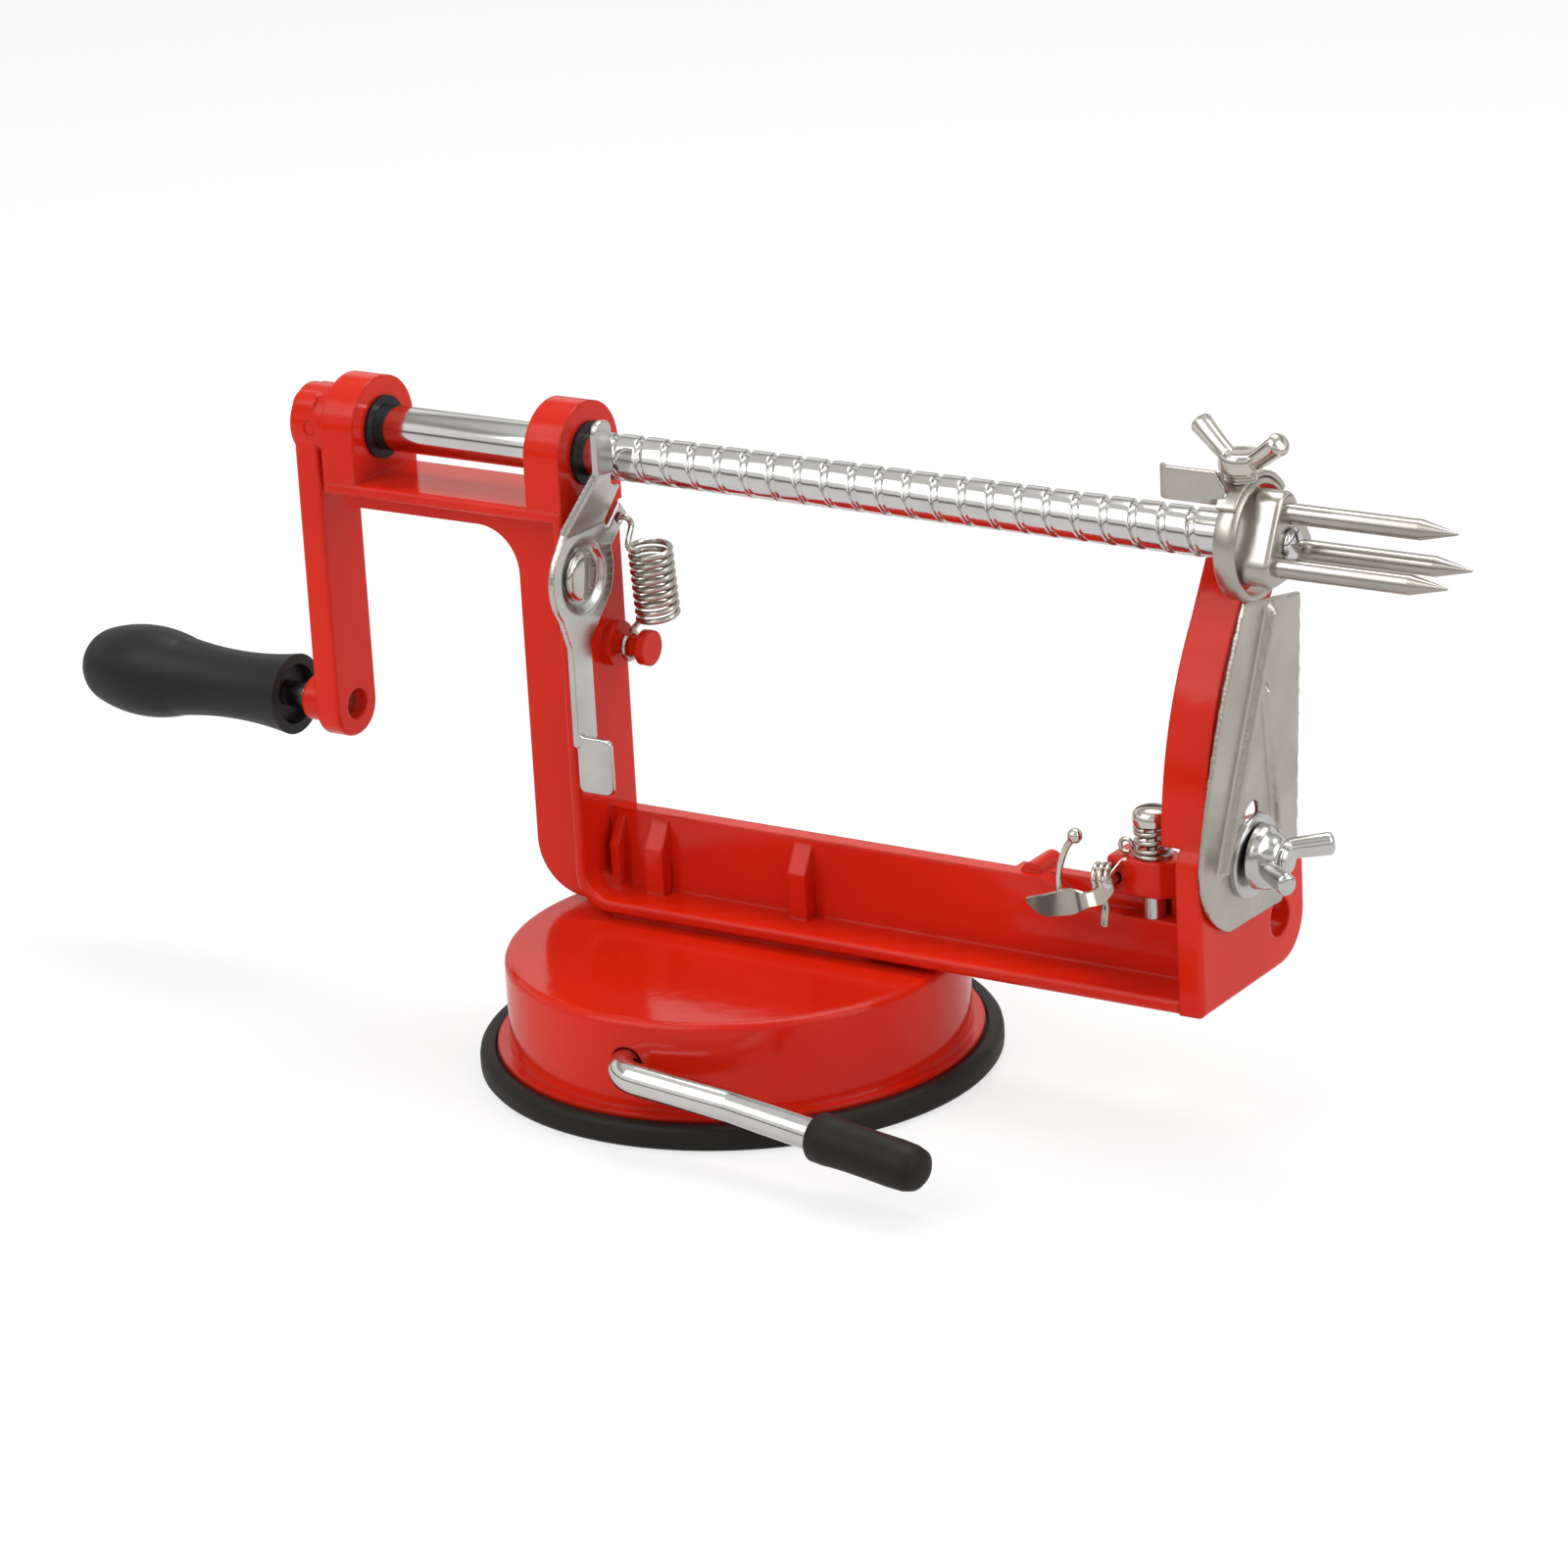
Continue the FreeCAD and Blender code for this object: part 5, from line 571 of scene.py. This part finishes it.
THREAD_START = -31.35
THREAD_PITCH = 6.6
THREAD_TURNS = 22
THREAD_FADE = 1.6  # length over which the groove runs out at its ends
SEAT_RADIUS = 4.0  # the shaft's end in the crank's hub
TAIL_RADIUS = 3.2  # the shaft's end in the fork's hub
# The groove's section: distance from its middle and depth there
GROOVE = [(0.0, 0.80), (0.46, 0.80), (0.62, 0.75), (0.72, 0.62), (0.79, 0.42), (0.86, 0.20), (0.94, 0.06),
          (1.06, 0.01), (1.3, 0.0), (2.6, 0.0)]


def groove_section():
    """The groove's section over one pitch, from left to right."""
    left = [(-along, depth) for along, depth in reversed(GROOVE[1:])]
    return [(-THREAD_PITCH / 2, 0.0)] + left + GROOVE


def make_shaft():
    """Shaft with a rounded spiral groove that runs out at both ends."""
    low, high = corners("feed_shaft")
    shoulder = corners("crank_arm")[1].x
    hub = corners("fork_hub")[0].x
    sides = 64
    turns = [2 * math.pi * index / sides for index in range(sides + 1)]
    thread_end = THREAD_START + THREAD_PITCH * THREAD_TURNS
    left = THREAD_START - THREAD_PITCH / 2
    right = thread_end + THREAD_PITCH / 2

    def spot(x, radius, turn):
        return at(x, SHAFT_Y + radius * math.cos(turn), SHAFT_Z + radius * math.sin(turn))

    def ring(x, radius):
        return [spot(x, radius, turn) for turn in turns]

    rows = [ring(low.x, 3.4), ring(low.x + 0.6, SEAT_RADIUS), ring(shoulder - 0.1, SEAT_RADIUS),
            ring(shoulder, SEAT_RADIUS), ring(shoulder + 0.1, 4.9), ring(shoulder + 0.3, SHAFT_RADIUS),
            ring(left - 4, SHAFT_RADIUS)]
    for lap in range(-1, THREAD_TURNS + 2):
        for along, depth in groove_section():
            row = []
            for turn in turns:
                x = THREAD_START + along + THREAD_PITCH * (lap + turn / (2 * math.pi))
                inside = min(x - THREAD_START + THREAD_FADE / 2, thread_end + THREAD_FADE / 2 - x)
                fade = min(max(inside / THREAD_FADE, 0), 1)
                row.append(spot(min(max(x, left), right), SHAFT_RADIUS - depth * fade, turn))
            rows.append(row)
    rows += [ring(hub - 0.3, SHAFT_RADIUS), ring(hub, 4.7), ring(hub, TAIL_RADIUS), ring(high.x, TAIL_RADIUS)]
    bm = bmesh.new()
    loft(bm, rows, closed=False, caps=False)
    bmesh.ops.remove_doubles(bm, verts=bm.verts, dist=WELD)
    bmesh.ops.holes_fill(bm, edges=[edge for edge in bm.edges if edge.is_boundary], sides=sides + 2)
    make_piece("feed_shaft", bm, "shaft")


PRONG_CIRCLE = 6.3
PRONG_TURN = 93.0
HUB_CORNER = 4.4
# The hub's rounded edges: distance from its face and how far its outline draws in
HUB_REAR = ((0.0, 0.9), (0.25, 0.3), (0.9, 0.0))
HUB_FRONT = ((1.3, 0.0), (0.75, 0.12), (0.35, 0.40), (0.1, 0.80), (0.0, 1.3))


def make_hub():
    """Three-cornered hub with softly rounded faces."""
    low, high = corners("fork_hub")
    sections = list(HUB_REAR) + [(high.x - low.x - back, inset) for back, inset in HUB_FRONT]
    rows = []
    for along, inset in sections:
        row = []
        for index in range(3):
            prong = math.radians(PRONG_TURN + 120 * index)
            centre = at(low.x + along, SHAFT_Y + PRONG_CIRCLE * math.cos(prong),
                        SHAFT_Z + PRONG_CIRCLE * math.sin(prong))
            for degrees in range(-60, 61, 10):
                turn = prong + math.radians(degrees)
                row.append(centre + at(0, math.cos(turn), math.sin(turn)) * (HUB_CORNER - inset))
        rows.append(row)
    bm = bmesh.new()
    loft(bm, rows)
    make_piece("fork_hub", bm, "shaft", limit=50)


def make_fork_screw():
    """Slotted screw with a domed head, between the prongs."""
    low, high = corners("fork_screw")
    profile = [(1.6, 0), (1.6, 12.0), (3.1, 12.0), (3.4, 12.3), (3.4, 12.7), (3.1, 13.15), (2.4, 13.5),
               (1.3, 13.68), (0.4, 13.72)]
    bm = bmesh.new()
    lathe(bm, profile, at(low.x, SHAFT_Y, SHAFT_Z), ALONG)
    screw = make_piece("fork_screw", bm, "shaft")
    cut_slot(screw, (high.x, SHAFT_Y, SHAFT_Z), (1.5, 0.9, 7.4), 12)


def make_ring():
    """Coring ring with a rolled rear edge and a sharpened front one."""
    rear = corners("coring_ring")[0].x
    profile = [(11.2, 0.35), (11.45, 0.08), (11.9, 0.0), (12.35, 0.08), (12.6, 0.4), (12.6, 3.5),
               (12.25, 4.2), (11.75, 4.6), (11.45, 4.6), (11.2, 4.4)]
    bm = bmesh.new()
    lathe(bm, profile, at(rear, SHAFT_Y, SHAFT_Z), ALONG, 96, open_ring=True)
    make_piece("coring_ring", bm, "frame")


# Wing screw, wing nut and bolt

SCREW_FOOT = 141.05  # height of the wing screw's thread above the floor
SCREW_PITCH = 0.62
SCREW_TURN = -20  # degrees by which its wings stand off the shaft's direction


def make_wing_screw():
    """Wing screw with two curved wings over a short thread."""
    low, high = corners("top_wing_screw")
    centre = (low + high) / 2
    foot = at(centre.x, centre.y, SCREW_FOOT)
    profile = [(1.6, low.z - foot.z), (1.6, -1.9), (2.9, -1.8)]
    for lap in range(3):
        z = -1.7 + SCREW_PITCH * lap
        profile += [(2.95, z), (3.35, z + 0.22), (3.35, z + 0.34), (2.95, z + 0.56)]
    profile += [(3.7, 0.3), (4.3, 0.5), (4.5, 1.2), (4.45, 2.8), (4.3, 3.7), (3.9, 4.15), (3.2, 4.3),
                (2.6, 4.1), (0.4, 4.0)]
    bm = bmesh.new()
    lathe(bm, profile, foot, UP)
    turn = math.radians(SCREW_TURN)
    out = at(math.cos(turn), math.sin(turn), 0)
    route = [(1.2, 2.0), (3.2, 2.6), (5.6, 3.9), (8.2, 5.6), (10.4, 7.1), (11.4, 7.8)]
    add_wings(bm, foot, out, UP, route, 2.15, 2.25, 28, (0.72, 1.08))
    make_piece("top_wing_screw", bm, "wing_screw")


# The wing nut's sections: along its axis, reach, and how round it is from 0, a hexagon, to 1
NUT_SECTIONS = ((0.0, 6.2, 1.0), (0.4, 6.9, 1.0), (1.0, 7.0, 0.7), (2.4, 6.8, 0.6), (3.0, 6.2, 0.8),
                (3.4, 5.4, 1.0), (4.8, 4.8, 1.0), (5.6, 4.3, 1.0), (5.9, 3.7, 1.0))


def make_wing_nut():
    """Wing nut with a six-sided foot, a cone and two raised wings."""
    foot = at(corners("slicer_wing_nut")[0].x, BOLT_Y, BOLT_Z)
    side = math.radians(60)
    half = math.radians(30)
    rows = []
    for along, reach, roundness in NUT_SECTIONS:
        row = []
        for turn in round_turn(48):
            flat = math.cos(half) / math.cos((turn + half) % side - half)
            radius = reach * (roundness + (1 - roundness) * flat)
            row.append(foot + at(along, radius * math.cos(turn), radius * math.sin(turn)))
        rows.append(row)
    bm = bmesh.new()
    loft(bm, rows)
    route = [(1.8, 2.4), (4.0, 3.6), (6.0, 6.0), (7.8, 8.6), (9.6, 11.2)]
    add_wings(bm, foot, at(0, 0.991, 0.131), ALONG, route, 2.35, 2.0, 24, (0.9, 1.05))
    make_piece("slicer_wing_nut", bm, "wing_nut")


BOLT_PITCH = 0.8
BOLT_THREAD = 9.4  # where the bolt's thread starts, from the back of its head
BOLT_SHOWS = 7.2  # the bolt's end, from the wing nut's foot


def make_bolt():
    """Bolt whose end shows a little beyond the wing nut."""
    back = corners("slicer_bolt")[0].x
    end = corners("slicer_wing_nut")[0].x + BOLT_SHOWS - back
    profile = [(4.3, 0.0), (4.6, 0.3), (4.6, 2.7), (4.3, 2.95), (2.95, 3.0), (2.95, 9.0)]
    start = BOLT_THREAD
    while start < end - 1.3:
        profile += [(2.55, start), (2.95, start + 0.35), (2.95, start + 0.45), (2.55, start + BOLT_PITCH)]
        start += BOLT_PITCH
    profile += [(2.9, end - 0.5), (2.4, end), (0.4, end)]
    bm = bmesh.new()
    lathe(bm, profile, at(back, BOLT_Y, BOLT_Z), ALONG, 40)
    make_piece("slicer_bolt", bm, "frame")


# Catch: screw and spring

PIVOT_HEAD = 1.8  # height of the pivot screw's head


def make_pivot_screw():
    """Slotted screw in the lever's dish."""
    low, high = corners("catch_pivot_screw")
    centre = middle("catch_pivot_screw")
    head = high.x - low.x - PIVOT_HEAD
    profile = [(2.0, 0), (2.0, head), (5.1, head), (5.5, head + 0.3), (5.5, head + 0.75),
               (5.2, head + 1.15), (4.4, head + 1.5), (2.8, head + 1.74), (0.5, head + PIVOT_HEAD)]
    bm = bmesh.new()
    lathe(bm, profile, at(low.x, centre.y, centre.z), ALONG)
    screw = make_piece("catch_pivot_screw", bm, "frame")
    cut_slot(screw, (high.x, centre.y, centre.z), (1.6, 1.5, 12.0), -8)


# The casting's stud and the lever's ear, as Y and Z
STUD = (14.0, 83.1)
EAR = (15.57, 110.96)
LOOP_RADIUS = 3.0


def make_catch_spring():
    """Spring from the casting's stud up to the lever's ear, drawn at rest in one fixed shape; it rides on no
    body and does not stretch as the lever turns.
    """
    turns = coil(at(-28.4, 19.2, 88.4), at(-28.6, 17.9, 105.0), 4.3, 9.25, 0.5, steps=26)
    loop = []
    for step in range(15):
        turn = math.radians(75 - 22 * step)
        loop.append(at(-32.6 + 0.02 * step, STUD[0] + LOOP_RADIUS * math.cos(turn),
                       STUD[1] + LOOP_RADIUS * math.sin(turn)))
    lower = through([loop[0], at(-32.4, 16.4, 86.9), at(-32.3, 18.6, 87.9), turns[0]], 6)[1:-1]
    end = turns[-1]
    hook = through([end, end + at(-1.2, -2.2, 1.6), at(-31.9, EAR[0] + 0.6, EAR[1] - 1.6),
                    at(-32.6, EAR[0], EAR[1] + 0.2), at(-34.6, EAR[0], EAR[1] + 0.1),
                    at(-36.7, EAR[0], EAR[1] - 0.5)], 5)[1:]
    bm = bmesh.new()
    tube(bm, list(reversed(loop)) + lower + turns + hook, 0.65)
    spring = make_piece("catch_spring", bm)
    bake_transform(spring)
    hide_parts("catch_spring")


# Peeler

PAN_HEAD = 4.0  # height of the peeler screw's head


def make_peeler_screw():
    """Slotted pan-headed screw on which the peeler swings."""
    low, high = corners("peeler_pivot_screw")
    centre = middle("peeler_pivot_screw")
    head = high.z - PAN_HEAD
    profile = [(1.5, low.z), (1.5, head), (3.7, head), (4.1, head + 0.35), (4.2, head + 1.4),
               (4.05, head + 2.5), (3.4, head + 3.3), (2.2, head + 3.8), (0.4, head + PAN_HEAD)]
    bm = bmesh.new()
    lathe(bm, profile, at(centre.x, centre.y, 0), UP, 40)
    screw = make_piece("peeler_pivot_screw", bm, "frame")
    cut_slot(screw, (centre.x, centre.y, high.z), (9.0, 1.1, 2.6), 25)


EYE_RADIUS = 1.4


def make_peeler_spring():
    """Pressure spring round the pivot screw, with an eye on its lower end."""
    low, high = corners("peeler_pivot_spring")
    centre = middle("peeler_pivot_spring")
    wire = 0.5
    foot = at(centre.x, centre.y, low.z + wire)
    top = at(centre.x, centre.y, high.z - wire)
    turns = coil(foot, top, 3.6, 4.25, 0.5, lead=0.16)
    eye = []
    for step in range(12):
        turn = math.radians(-60 - 26 * step)
        eye.append(at(centre.x - 5.4 + EYE_RADIUS * math.cos(turn), centre.y - 1.6,
                      low.z + 1.95 + EYE_RADIUS * math.sin(turn)))
    arrival = through([eye[-1], at(centre.x - 3.9, centre.y - 0.6, low.z + 0.9), turns[0]], 5)[1:-1]
    bm = bmesh.new()
    tube(bm, eye + arrival + turns, wire)
    make_piece("peeler_pivot_spring", bm, "frame")


# The blade's upper and lower edges, from its tongue to its lug
BLADE = (((70.8, 2.8, 45.1), (71.2, 2.5, 44.2)), ((73.0, 2.6, 45.9), (73.3, 1.9, 43.2)),
         ((75.5, 2.4, 46.7), (76.0, 1.2, 42.5)), ((78.2, 2.2, 47.8), (78.7, 1.0, 43.0)),
         ((80.5, 1.9, 48.8), (81.2, 0.8, 43.6)), ((82.1, 1.6, 49.2), (83.4, 0.6, 44.3)),
         ((83.7, 1.5, 49.0), (85.2, 0.4, 45.3)), ((85.3, 1.6, 48.9), (86.8, 0.5, 46.2)),
         ((86.8, 2.0, 49.3), (88.2, 1.0, 46.6)), ((88.1, 2.6, 50.4), (89.5, 1.8, 47.0)),
         ((89.3, 3.2, 51.4), (90.5, 2.6, 48.2)), ((90.4, 3.8, 52.5), (91.3, 3.4, 49.7)))
BLADE_SHEET = 0.8
BLADE_EDGE = 0.2  # how far its edges are rounded


def make_blade():
    """Blade strip: a flat tongue, a curled saddle that rises to the pin, and a leg below it."""
    upper = through([Vector(pair[0]) for pair in BLADE], 4)
    lower = through([Vector(pair[1]) for pair in BLADE], 4)
    rows = []
    for index, (high, low) in enumerate(zip(upper, lower)):
        ahead = min(index + 1, len(upper) - 1)
        behind = max(index - 1, 0)
        heading = (upper[ahead] + lower[ahead] - upper[behind] - lower[behind]).normalized()
        across = (high - low).normalized()
        face = heading.cross(across).normalized() * (BLADE_SHEET / 2)
        edge = across * BLADE_EDGE
        rows.append([high + face * 0.6, high + edge, high - face * 0.6, high - face - edge, low - face + edge,
                     low - face * 0.3, low + face, high + face - edge])
    bm = bmesh.new()
    loft(bm, rows)
    leg = [at(89.0, 2.6, 48.5), at(89.2, 3.0, 46.0), at(88.9, 3.0, 43.5), at(88.7, 3.0, 41.8)]
    tube(bm, through(leg, 4), 1.0, 0.45, 16, up=BACK)
    make_piece("peeler_blade", bm, "blade", limit=30)


BALL_RADIUS = 1.62


def make_guide():
    """Wire guide with a ball on its end."""
    path = through([at(79.6, 2.0, 46.8), at(78.9, 2.4, 48.2), at(78.6, 2.6, 50.6), at(79.0, 2.6, 53.1),
                    at(79.8, 2.6, 55.6), at(80.9, 2.6, 58.0), at(82.6, 2.6, 60.2)], 6)
    ball = []
    for step in range(17):
        turn = math.pi * (0.02 + 0.96 * step / 16)
        ball.append((BALL_RADIUS * math.sin(turn), -BALL_RADIUS * math.cos(turn)))
    bm = bmesh.new()
    tube(bm, path, 0.7, sides=12)
    lathe(bm, ball, at(82.9, 2.6, 60.6), at(0.6, 0, 0.8), 28)
    make_piece("blade_guide_wire", bm, "blade")


def make_blade_spring():
    """Spring of three wide turns between the arm and the blade."""
    turns = coil(at(89.4, 5.6, 51.2), at(85.6, 5.2, 51.0), 2.9, 2.75, 0.1)
    tail = through([turns[-1], turns[-1] + at(-0.9, -1.2, -1.2), at(84.4, 2.6, 48.2)], 5)[1:]
    leg = through([at(91.4, 8.6, 54.6), at(90.4, 8.0, 54.2), turns[0]], 5)[:-1]
    bm = bmesh.new()
    tube(bm, leg + turns + tail, 0.55)
    make_piece("blade_spring", bm, "peeler")


def make_blade_pin():
    """Pin with a low round head, on which the blade swings."""
    centre = middle("blade_pin")
    low, high = corners("blade_pin")
    profile = [(0.4, 0.0), (1.3, 0.1), (1.9, 0.5), (2.0, 1.0), (1.0, 1.0), (1.0, high.y - low.y)]
    bm = bmesh.new()
    lathe(bm, profile, at(centre.x, low.y, centre.z), BACK, 32)
    make_piece("blade_pin", bm, "peeler")


# Suction pad and sleeve

def make_pad():
    """Rubber pad: soft rim, a lip round the cap and a slightly sunken bead."""
    profile = [(0.5, 0.0), (54.6, 0.0), (55.6, 0.25), (56.1, 0.9), (56.2, 1.6), (56.2, 3.4), (56.0, 4.4),
               (55.5, 5.1), (54.8, 5.45), (53.6, 5.5), (52.9, 5.4), (52.6, 5.1), (52.5, 4.7), (52.0, 4.65),
               (0.5, 4.65)]
    bm = bmesh.new()
    lathe(bm, profile, at(0, 0, 0), UP, 160)
    make_piece("suction_pad", bm, "frame", limit=60)


SLEEVE_START = at(55.69, -57.16, 11.9)
SLEEVE_HEADING = at(0.9895, -0.1332, -0.0558)
# The sleeve's sections: along it, half width and half height
SLEEVE = ((-0.2, 3.55, 3.55), (0.0, 4.9, 4.9), (0.4, 5.2, 5.2), (3.4, 5.25, 5.25), (5.0, 5.1, 5.1),
          (9.0, 5.0, 4.95), (15.0, 5.1, 4.95), (20.0, 5.25, 5.0), (23.6, 5.1, 4.85),
          (25.6, 4.7, 4.25), (26.6, 3.4, 3.1), (27.0, 1.9, 1.7))


def make_sleeve():
    """Soft sleeve with a collar, a slight swell and a rounded end."""
    heading = SLEEVE_HEADING.normalized()
    side = heading.cross(UP).normalized()
    top = side.cross(heading)
    rows = []
    for along, width, height in SLEEVE:
        centre = SLEEVE_START + heading * along
        rows.append([centre + side * math.cos(turn) * width + top * math.sin(turn) * height
                     for turn in round_turn(40)])
    bm = bmesh.new()
    loft(bm, rows)
    make_piece("lever_sleeve", bm, "suction_lever", limit=60)


make_shaft()
make_hub()
make_fork_screw()
make_ring()
make_wing_screw()
make_wing_nut()
make_bolt()
make_pivot_screw()
make_catch_spring()
make_peeler_screw()
make_peeler_spring()
make_blade()
make_guide()
make_blade_spring()
make_pad()
make_sleeve()
make_blade_pin()
press_dish(soften("catch_lever", 0.30, 10))
taper_strap(soften("guide_strap", 0.28, 9))
soften("peeler_arm", 0.35, 5)
raise_beads(soften("slicer_plate", 0.35, 2))


# Studio

CAMERA_PLACE = (0.6535, -0.9657, 0.4658)
CAMERA_RIGHT = (0.8425, 0.5363, -0.0513)
CAMERA_FORWARD = (-0.5213, 0.7875, -0.3287)
CAMERA_LENS = 134.3
CAMERA_SENSOR = 36


def set_camera():
    """The camera at the photograph's place and angle."""
    right = Vector(CAMERA_RIGHT).normalized()
    forward = Vector(CAMERA_FORWARD).normalized()
    up = right.cross(forward).normalized()
    right = forward.cross(up)
    turn = Matrix((right, up, -forward)).transposed()
    data = bpy.data.cameras.new("camera")
    data.lens = CAMERA_LENS
    data.sensor_width = CAMERA_SENSOR
    data.clip_start = 0.05
    data.clip_end = 50
    camera = bpy.data.objects.new("camera", data)
    camera.matrix_world = Matrix.Translation(Vector(CAMERA_PLACE)) @ turn.to_4x4()
    bpy.context.scene.collection.objects.link(camera)
    bpy.context.scene.camera = camera


# Each lamp's name, place, width, height and power
LAMPS = (("key", (-0.5, -1.1, 1.3), 1.5, 1.2, 12),
         ("fill", (1.5, 0.1, 0.9), 1.2, 1.2, 8),
         ("top", (0.0, 0.5, 1.4), 1.2, 0.5, 10))
LAMP_TARGET = (0, 0, 0.08)


def softbox(name, place, width, height, power):
    """A rectangular soft lamp that faces the object."""
    data = bpy.data.lights.new(name, "AREA")
    data.shape = "RECTANGLE"
    data.size = width
    data.size_y = height
    data.energy = power
    lamp = bpy.data.objects.new(name, data)
    lamp.location = place
    aim = Vector(LAMP_TARGET) - Vector(place)
    lamp.rotation_euler = aim.to_track_quat("-Z", "Y").to_euler()
    bpy.context.scene.collection.objects.link(lamp)


def ray_kinds(tree):
    """Two values, 1 for a ray from the camera and 1 for a ray off or through something shiny."""
    path = tree.add("ShaderNodeLightPath")
    shiny = tree.value("MAXIMUM", path.outputs["Is Glossy Ray"], path.outputs["Is Transmission Ray"])
    return path.outputs["Is Camera Ray"], shiny


def warm(level):
    """A grey level with the slight warmth of the room that shows in the metal."""
    return (level, level * 0.975, level * 0.93, 1)


WHITE = (1, 1, 1, 1)
LIGHT_LEVEL = 0.53  # the world's light on the object
ROOM_LEVEL = 0.95  # the room's brightness in the metal
# The room as metal sees it, from below to above: height from 0 to 1 and grey level
ROOM = ((0.0, 0.30), (0.48, 0.35), (0.505, 0.10), (0.535, 0.14), (0.575, 0.85), (0.72, 0.95),
        (0.765, 0.45), (0.80, 0.32), (0.86, 0.70), (1.0, 0.80))


def set_world():
    """Even white light, seen as white by the camera and as a room with a darker band by metal."""
    world = bpy.data.worlds.new("studio")
    bpy.context.scene.world = world
    tree = Tree(world)
    camera_ray, shiny = ray_kinds(tree)
    direction = tree.add("ShaderNodeTexCoord").outputs["Generated"]
    height = tree.add("ShaderNodeSeparateXYZ", Vector=direction).outputs["Z"]
    room = tree.ramp(tree.value("MULTIPLY_ADD", height, 0.5, 0.5),
                     *[(place, warm(level)) for place, level in ROOM])
    light = tree.add("ShaderNodeBackground", Color=WHITE, Strength=LIGHT_LEVEL).outputs[0]
    metal = tree.add("ShaderNodeBackground", Color=room, Strength=ROOM_LEVEL).outputs[0]
    white = tree.add("ShaderNodeBackground", Color=WHITE, Strength=1.0).outputs[0]
    shown = tree.mix(camera_ray, tree.mix(shiny, light, metal), white)
    tree.add("ShaderNodeOutputWorld", Surface=shown)


FLOOR_COLOUR = (0.93, 0.93, 0.93, 1)
FLOOR_WHITE = 0.72  # share of plain white in the floor that the camera sees
FLOOR_SHINE = 0.7  # share of plain brightness in the floor that metal and enamel reflect
FLOOR_IN_METAL = 0.62  # that brightness
FLOOR_HALF = 6.0
FLOOR_DROP = 0.0002


def make_floor():
    """A plain white floor that keeps a faint shadow."""
    made = bpy.data.materials.new("floor")
    tree = Tree(made)
    camera_ray, shiny = ray_kinds(tree)
    diffuse = tree.add("ShaderNodeBsdfDiffuse", Color=FLOOR_COLOUR).outputs[0]
    white = tree.add("ShaderNodeEmission", Color=WHITE, Strength=1.0).outputs[0]
    dim = tree.add("ShaderNodeEmission", Color=warm(1.0), Strength=FLOOR_IN_METAL).outputs[0]
    seen = tree.mix(tree.value("MULTIPLY", camera_ray, FLOOR_WHITE), diffuse, white)
    shown = tree.mix(tree.value("MULTIPLY", shiny, FLOOR_SHINE), seen, dim)
    tree.add("ShaderNodeOutputMaterial", Surface=shown)
    mesh = bpy.data.meshes.new("floor")
    half = FLOOR_HALF
    mesh.from_pydata([(-half, -half, 0), (half, -half, 0), (half, half, 0), (-half, half, 0)], [],
                     [(0, 1, 2, 3)])
    mesh.materials.append(made)
    floor = bpy.data.objects.new("floor", mesh)
    floor.location.z = -FLOOR_DROP
    bpy.context.scene.collection.objects.link(floor)


set_camera()
set_world()
make_floor()
for lamp in LAMPS:
    softbox(*lamp)

bpy.context.scene.view_settings.view_transform = "Standard"
